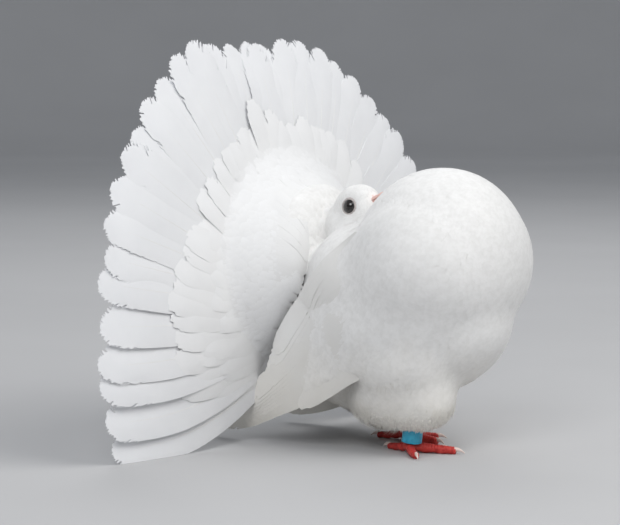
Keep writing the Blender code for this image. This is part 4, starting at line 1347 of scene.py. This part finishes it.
# ------------------------------------------------------------------ bill
M_BILL = plain_material("bill_horn", ((0.25, (0.72, 0.42, 0.37)), (0.6, (0.80, 0.52, 0.46)), (0.85, (0.84, 0.60, 0.54))),
                        260.0, 0.38, 800.0, 0.12, spec=0.5, rough_range=(0.3, 0.5))
M_CERE = plain_material("cere_skin", ((0.3, (0.82, 0.62, 0.58)), (0.7, (0.88, 0.76, 0.73))), 600.0, 0.7, 2600.0, 0.5,
                        distance=0.0001)
M_MOUTH = plain_material("mouth_line", ((0.3, (0.22, 0.08, 0.07)), (0.7, (0.34, 0.13, 0.11))), 500.0, 0.6, 1500.0, 0.2)


def loft_rings(name, rings, cap=True):
    n = rings.shape[1]
    v = rings.reshape(-1, 3)
    f = []
    for i in range(rings.shape[0] - 1):
        for j in range(n):
            jj = (j + 1) % n
            f.append((i * n + j, i * n + jj, (i + 1) * n + jj, (i + 1) * n + j))
    if cap:
        f.append(tuple(range(n))[::-1])
        f.append(tuple((rings.shape[0] - 1) * n + j for j in range(n)))
    o = build_mesh(name, v, f)
    bm = bmesh.new()
    bm.from_mesh(o.data)
    bmesh.ops.recalc_face_normals(bm, faces=bm.faces)
    bm.to_mesh(o.data)
    bm.free()
    o.data.shade_smooth()
    o.data.set_sharp_from_angle(angle=math.radians(60))
    return o


def bill_rings(upper, count=34, sides=28):
    rings = []
    for q in np.linspace(0.0, 1.0, count):
        x = 9.5 + (BILL_LENGTH + 4.0) * q * (1.0 if upper else 0.93)
        w = 3.9 * (1 - q) ** 0.62 + 0.35 * (1 - q) + 0.12
        t = np.linspace(0, 2 * math.pi, sides, endpoint=False)
        c, s = np.cos(t), np.sin(t)
        droop = -2.6 * max(q - 0.62, 0.0) ** 1.5 * 2.4
        if upper:
            swell = 0.5 * math.exp(-((q - 0.72) / 0.16) ** 2)
            up = (3.3 * (1 - q) ** 0.55 * (0.80 + 0.2 * q) + swell + 0.05)
            mid = -1.5 + droop
            z = mid + np.where(s > 0, up * np.abs(s) ** 0.85, -0.35 * np.abs(s))
        else:
            dn = 2.1 * (1 - q) ** 0.6 + 0.3 * math.exp(-((q - 0.6) / 0.2) ** 2) + 0.05
            mid = -1.95 + droop * 0.45
            z = mid + np.where(s > 0, 0.30 * s, -dn * np.abs(s) ** 0.85)
        rings.append(np.stack([np.full(sides, x), w * (0.97 if not upper else 1.0) * c, z], -1))
    r = np.array(rings)
    return head_pts(r.reshape(-1, 3)).reshape(r.shape)


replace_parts(piece(loft_rings("bill_upper_half", bill_rings(True)), M_BILL, slot="bill"), "bill_upper")
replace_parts(piece(loft_rings("bill_lower_half", bill_rings(False)), M_BILL, slot="bill"), "bill_lower")
# dark line of the closed mouth, running back to the gape
q = np.linspace(0, 1, 30)
line = []
for s in (-1, 1):
    x = 9.0 + 17.5 * (1 - q)
    w = (3.9 * np.clip(1 - (x - 9.5) / 19.5, 0, 1) ** 0.62 + 0.1)
    z = -1.75 - 2.6 * np.maximum((x - 9.5) / 19.5 - 0.62, 0) ** 1.5 * 1.6 - 0.5 * np.clip((12.5 - x) / 3.5, 0, 1) ** 1.5
    line.append(np.stack([x, s * w, z], -1))
rings = []
for i in range(30):
    a, b = line[0][i], line[1][i]
    t = np.linspace(0, 2 * math.pi, 8, endpoint=False)
    ring = []
    for k in t:
        yy = (a[1] * (1 + math.cos(k)) + b[1] * (1 - math.cos(k))) / 2
        ring.append((a[0], yy, a[2] + 0.22 * math.sin(k)))
    rings.append(ring)
rings = np.array(rings)
piece(loft_rings("mouth_line", head_pts(rings.reshape(-1, 3)).reshape(rings.shape)), M_MOUTH, slot="bill")

# the cere: two soft lobes over the nostrils
bm = bmesh.new()
for s in (-1, 1):
    ball_mesh(bm, (13.2, 1.5 * s, 1.55), (3.1, 1.75, 1.55), pitch=-14.0, yaw=-10.0 * s, sub=4, extra=HEAD)
    ball_mesh(bm, (11.2, 2.2 * s, 1.2), (2.2, 1.9, 1.7), sub=4, extra=HEAD)
me = bpy.data.meshes.new("cere")
bmesh.ops.transform(bm, matrix=Matrix.Scale(0.001, 4) @ Matrix.Translation(SHIFT), verts=bm.verts)
bm.to_mesh(me)
bm.free()
o = bpy.data.objects.new("cere_lobes", me)
bpy.context.scene.collection.objects.link(o)
m = o.modifiers.new("fuse", "REMESH")
m.mode = "VOXEL"
m.voxel_size = 0.00016
m = o.modifiers.new("soften", "SMOOTH")
m.iterations = 4
apply_all(o)
o.data.shade_smooth()
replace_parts(piece(o, M_CERE, slot="cere"), "cere")

# ------------------------------------------------------------------ feet
M_FOOT = plain_material("foot_skin", ((0.25, (0.34, 0.014, 0.012)), (0.5, (0.56, 0.035, 0.028)), (0.8, (0.68, 0.09, 0.07))),
                        420.0, 0.5, 1500.0, 0.35, spec=0.45, rough_range=(0.36, 0.6))
M_CLAW = plain_material("claw_horn", ((0.3, (0.74, 0.56, 0.50)), (0.7, (0.86, 0.74, 0.68))), 300.0, 0.33, 900.0, 0.1)


def toe_lines(hub, side):
    x, y = hub
    if side < 0:
        ends = ((72.5, -6.4), (63.0, -33.5), (61.5, -3.0), (29.5, -12.5))
        bows = (1.2, -1.0, 0.8, 0.0)
    else:
        ends = ((45.5, 15.5), (36.0, 31.0), (38.0, 4.5), (1.5, 17.0))
        bows = (-0.8, 1.0, -0.8, 0.0)
    return [((x, y), e, b) for e, b in zip(ends, bows)]


def tube(bm, centre, radius_of, sides=26):
    """A closed tube along points; radius_of(i, angle array) gives the radius."""
    n = len(centre)
    rows = []
    for i in range(n):
        t = unit(centre[min(i + 1, n - 1)] - centre[max(i - 1, 0)])
        ref = np.array([0, 0, 1.0]) if abs(t[2]) < 0.8 else np.array([1.0, 0, 0])
        s = unit(np.cross(t, ref))
        w = np.cross(s, t)
        a = np.linspace(0, 2 * math.pi, sides, endpoint=False)
        r = radius_of(i, a)
        rows.append([bm.verts.new(centre[i] + s * (rr * math.cos(k)) + w * (rr * math.sin(k))) for rr, k in zip(r, a)])
    faces = []
    for a, b in zip(rows, rows[1:]):
        for i in range(sides):
            j = (i + 1) % sides
            faces.append(bm.faces.new((a[i], a[j], b[j], b[i])))
    faces.append(bm.faces.new(rows[0][::-1]))
    faces.append(bm.faces.new(rows[-1]))
    bmesh.ops.recalc_face_normals(bm, faces=faces)


def make_foot(tag, hub, side, knee):
    x, y = hub
    bm = bmesh.new()
    for (a, b, bow), thick in zip(toe_lines(hub, side), (3.0, 2.8, 2.7, 2.6)):
        a, b = np.array([*a, 0.0]), np.array([*b, 0.0])
        across = unit(np.array([-(b - a)[1], (b - a)[0], 0]))
        length = np.linalg.norm(b - a)
        n = int(length / 0.22)
        q = np.linspace(0, 1.0, n)
        r = thick - 0.75 * q
        z = r - 0.3 + 1.6 * (1 - q) ** 2
        c = a + (b - a) * q[:, None] + across * (bow * np.sin(q * math.pi))[:, None]
        c[:, 2] = z
        pads = 0.35 * np.cos(q * 2 * math.pi * 3)
        scute = (q * length / 1.75) % 1.0
        ridge = 0.42 * (1 - scute) ** 0.6 - 0.50 * (scute > 0.84)
        end = np.where(q > 0.93, 1 - ((q - 0.93) / 0.07) ** 2 * 0.35, 1.0)

        def radius_of(i, ang, r=r, pads=pads, ridge=ridge, end=end):
            top = np.clip(np.sin(ang), 0, 1) ** 0.7
            low = np.clip(-np.sin(ang), 0, 1)
            flank = np.abs(np.cos(ang))
            return (r[i] * (0.95 + 0.0 * flank) + ridge[i] * top * 0.9 + pads[i] * low * 0.8) * end[i]

        tube(bm, c, radius_of)
    k = 90
    q = np.linspace(0, 1, k)
    c = np.stack([x + (knee[0] - x) * q, y + (knee[1] - y) * q, 3.6 + (knee[2] - 3.6) * q], -1)
    sc = (q * 26 / 1.9) % 1.0
    tube(bm, c, lambda i, ang: (3.1 - 0.25 * math.sin(q[i] * 3) + 0.4 * max(q[i] - 0.5, 0))
         + 0.22 * (1 - sc[i]) ** 0.6 * np.clip(np.cos(ang - 0.2), 0, 1) + 0 * ang)
    ball_mesh(bm, (x, y, 4.2), (4.3, 4.0, 3.4), sub=4)
    me = bpy.data.meshes.new("foot_" + tag)
    bmesh.ops.transform(bm, matrix=Matrix.Scale(0.001, 4) @ Matrix.Translation(SHIFT), verts=bm.verts)
    bm.to_mesh(me)
    bm.free()
    o = bpy.data.objects.new("foot_" + tag, me)
    bpy.context.scene.collection.objects.link(o)
    m = o.modifiers.new("fuse", "REMESH")
    m.mode = "VOXEL"
    m.voxel_size = 0.00024
    m = o.modifiers.new("soften", "SMOOTH")
    m.iterations = 1
    m.factor = 0.4
    m = o.modifiers.new("fewer", "DECIMATE")
    m.ratio = 0.45
    apply_all(o)
    v = np.empty(len(o.data.vertices) * 3, dtype=np.float32)
    o.data.vertices.foreach_get("co", v)
    v = v.reshape(-1, 3)
    v[:, 2] = np.maximum(v[:, 2], 0.0)
    o.data.vertices.foreach_set("co", v.ravel())
    o.data.shade_smooth()
    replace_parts(piece(o, M_FOOT, slot="foot"), "leg_" + tag)
    # claws
    heap_v, heap_f, off = [], [], 0
    for (h, e, bow) in toe_lines(hub, side):
        e3, h3 = np.array([*e, 0.0]), np.array([*h, 0.0])
        d = unit(e3 - h3)
        s = np.array([-d[1], d[0], 0])
        n, sides = 22, 18
        rings = []
        for q in np.linspace(0, 1, n):
            rad = 1.45 * (1 - q) ** 0.72 + 0.10
            cc = e3 + d * (-1.4 + 6.6 * q) + np.array([0, 0, 2.55 + 0.9 * math.sin(q * 2.3) - 2.55 * q ** 1.7])
            a = np.linspace(0, 2 * math.pi, sides, endpoint=False)
            rings.append(cc + s * (rad * 0.78 * np.cos(a))[:, None] + np.array([0, 0, 1.0]) * (rad * np.sin(a))[:, None])
        rings = np.array(rings)
        rings[:, :, 2] = np.maximum(rings[:, :, 2], 0.05)
        heap_v.append(rings.reshape(-1, 3))
        for i in range(n - 1):
            for j in range(sides):
                jj = (j + 1) % sides
                heap_f.append((off + i * sides + j, off + i * sides + jj, off + (i + 1) * sides + jj, off + (i + 1) * sides + j))
        heap_f.append(tuple(off + j for j in range(sides))[::-1])
        heap_f.append(tuple(off + (n - 1) * sides + j for j in range(sides)))
        off += n * sides
    o = build_mesh("claws_" + tag, np.concatenate(heap_v), heap_f)
    bm = bmesh.new()
    bm.from_mesh(o.data)
    bmesh.ops.recalc_face_normals(bm, faces=bm.faces)
    bm.to_mesh(o.data)
    bm.free()
    o.data.shade_smooth()
    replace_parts(piece(o, M_CLAW, slot="claw"), *("claw_%s_%s" % (tag, k) for k in ("middle", "outer", "inner", "hind")))


make_foot("r", FOOT_R, -1, (54.0, -20.5, 30.0))
make_foot("l", FOOT_L, 1, (25.0, 18.5, 30.0))

# ------------------------------------------------------------------ leg ring
M_RING = plain_material("ring_blue", ((0.2, (0.010, 0.20, 0.36)), (0.45, (0.02, 0.40, 0.62)), (0.8, (0.05, 0.54, 0.76))),
                        240.0, 0.3, 600.0, 0.15, coat=0.3, rough_range=(0.22, 0.45))
prof = []
RI, RO, RH, BV = 4.7, 5.9, 4.3, 0.35
for cx, cz, a0 in ((RO - BV, RH - BV, 0), (RI + BV, RH - BV, 90), (RI + BV, -RH + BV, 180), (RO - BV, -RH + BV, 270)):
    for a in np.linspace(a0, a0 + 90, 5):
        prof.append((cx + BV * math.cos(math.radians(a)), cz + BV * math.sin(math.radians(a))))
prof = np.array(prof)
ang = np.linspace(0, 2 * math.pi, 72, endpoint=False)
pts = np.stack([prof[None, :, 0] * np.cos(ang)[:, None], prof[None, :, 0] * np.sin(ang)[:, None],
                np.repeat(prof[None, :, 1], 72, 0)], -1)
R = np.array(Matrix.Rotation(math.radians(7.0), 3, "Y"))
pts = pts @ R.T + RING_AT
npf = len(prof)
faces = np.array([(i * npf + j, ((i + 1) % 72) * npf + j, ((i + 1) % 72) * npf + (j + 1) % npf, i * npf + (j + 1) % npf)
                  for i in range(72) for j in range(npf)])
o = build_mesh("ring_on_leg", pts.reshape(-1, 3), faces, sharp=50)
bm = bmesh.new()
bm.from_mesh(o.data)
bmesh.ops.recalc_face_normals(bm, faces=bm.faces)
bm.to_mesh(o.data)
bm.free()
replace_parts(piece(o, M_RING, slot="ring"), "leg_ring")

# ------------------------------------------------------------------ studio
def stage_material(name, a, b, scale, rough):
    m, nodes, links, bs = nodes_of(name)
    n1 = noise(nodes, links, scale, 3.0)
    r = ramp(nodes, links, n1.outputs["Fac"], ((0.3, a), (0.7, b)))
    links.new(r.outputs["Color"], bs.inputs["Base Color"])
    bs.inputs["Roughness"].default_value = rough
    return m


def bowl_floor():
    """Round floor that curves up, far out, into a plain backdrop on every side."""
    prof = [(0.0, 0.0), (1.2, 0.0), (2.4, 0.0), (3.4, 0.0)]
    for t in np.linspace(0, 90, 15)[1:]:
        prof.append((3.4 + 1.4 * math.sin(math.radians(t)), 1.4 - 1.4 * math.cos(math.radians(t))))
    prof.append((4.8, 2.2))
    n = 96
    v, f = [(0.0, 0.0, 0.0)], []
    for d, z in prof[1:]:
        for k in range(n):
            t = 2 * math.pi * k / n
            v.append((d * math.cos(t), d * math.sin(t), z))
    for k in range(n):
        f.append((0, 1 + k, 1 + (k + 1) % n))
    for i in range(len(prof) - 2):
        for k in range(n):
            kk = (k + 1) % n
            a, b = 1 + i * n, 1 + (i + 1) * n
            f.append((a + k, b + k, b + kk, a + kk))
    me = bpy.data.meshes.new("floor")
    me.from_pydata(v, [], f)
    me.shade_smooth()
    o = bpy.data.objects.new("floor", me)
    bpy.context.scene.collection.objects.link(o)
    o.data.materials.append(stage_material("floor", (0.50, 0.50, 0.505), (0.53, 0.53, 0.535), 3.0, 0.7))
    return o


bowl_floor()

CAM_A, CAM_E, CAM_D = math.radians(35.0), math.radians(9.5), 1500.0
right = np.array([math.cos(CAM_A), math.sin(CAM_A), 0.0])
toward = np.array([math.sin(CAM_A) * math.cos(CAM_E), -math.cos(CAM_A) * math.cos(CAM_E), math.sin(CAM_E)])
up = np.cross(toward, right)
eye = toward * CAM_D
aim = right * ((310 - 360) * 0.6) + up * ((440 - 262.5) * 0.6)
cam_data = bpy.data.cameras.new("camera")
cam = bpy.data.objects.new("camera", cam_data)
bpy.context.scene.collection.objects.link(cam)
cam_data.sensor_width = 36.0
cam_data.lens = 36.0 * (np.linalg.norm(aim - eye) / 0.6) / 620.0
cam_data.clip_start, cam_data.clip_end = 0.05, 20.0
cam.location = Vector((eye + SHIFT) * 0.001)
cam.rotation_mode = "QUATERNION"
cam.rotation_quaternion = Vector(aim - eye).to_track_quat("-Z", "Y")
bpy.context.scene.camera = cam


def area_light(name, azimuth, elevation, distance, size, power, colour=(1, 1, 1)):
    d = bpy.data.lights.new(name, "AREA")
    d.shape = "SQUARE"
    d.size = size
    d.energy = power
    d.color = colour
    o = bpy.data.objects.new(name, d)
    bpy.context.scene.collection.objects.link(o)
    a, e = math.radians(azimuth), math.radians(elevation)
    v = Vector((math.sin(a) * math.cos(e), -math.cos(a) * math.cos(e), math.sin(e)))
    o.location = v * distance + Vector((0, 0, 0.1))
    o.rotation_mode = "QUATERNION"
    o.rotation_quaternion = v.to_track_quat("Z", "Y")
    return o


area_light("key", 98, 50, 1.9, 1.4, 20, (1.0, 0.985, 0.96))
area_light("front", 24, 38, 2.2, 1.0, 17.0, (0.985, 0.99, 1.0))
area_light("rim", 215, 45, 1.9, 1.2, 8, (1.0, 1.0, 1.0))

world = bpy.data.worlds.new("studio")
bpy.context.scene.world = world
world.use_nodes = True
bg = world.node_tree.nodes["Background"]
bg.inputs["Color"].default_value = (0.86, 0.90, 0.96, 1.0)
bg.inputs["Strength"].default_value = 0.42
bpy.context.scene.view_settings.view_transform = "Standard"

print("TRIS", {o.name: sum(len(p.vertices) - 2 for p in o.data.polygons) for o in PIECES})
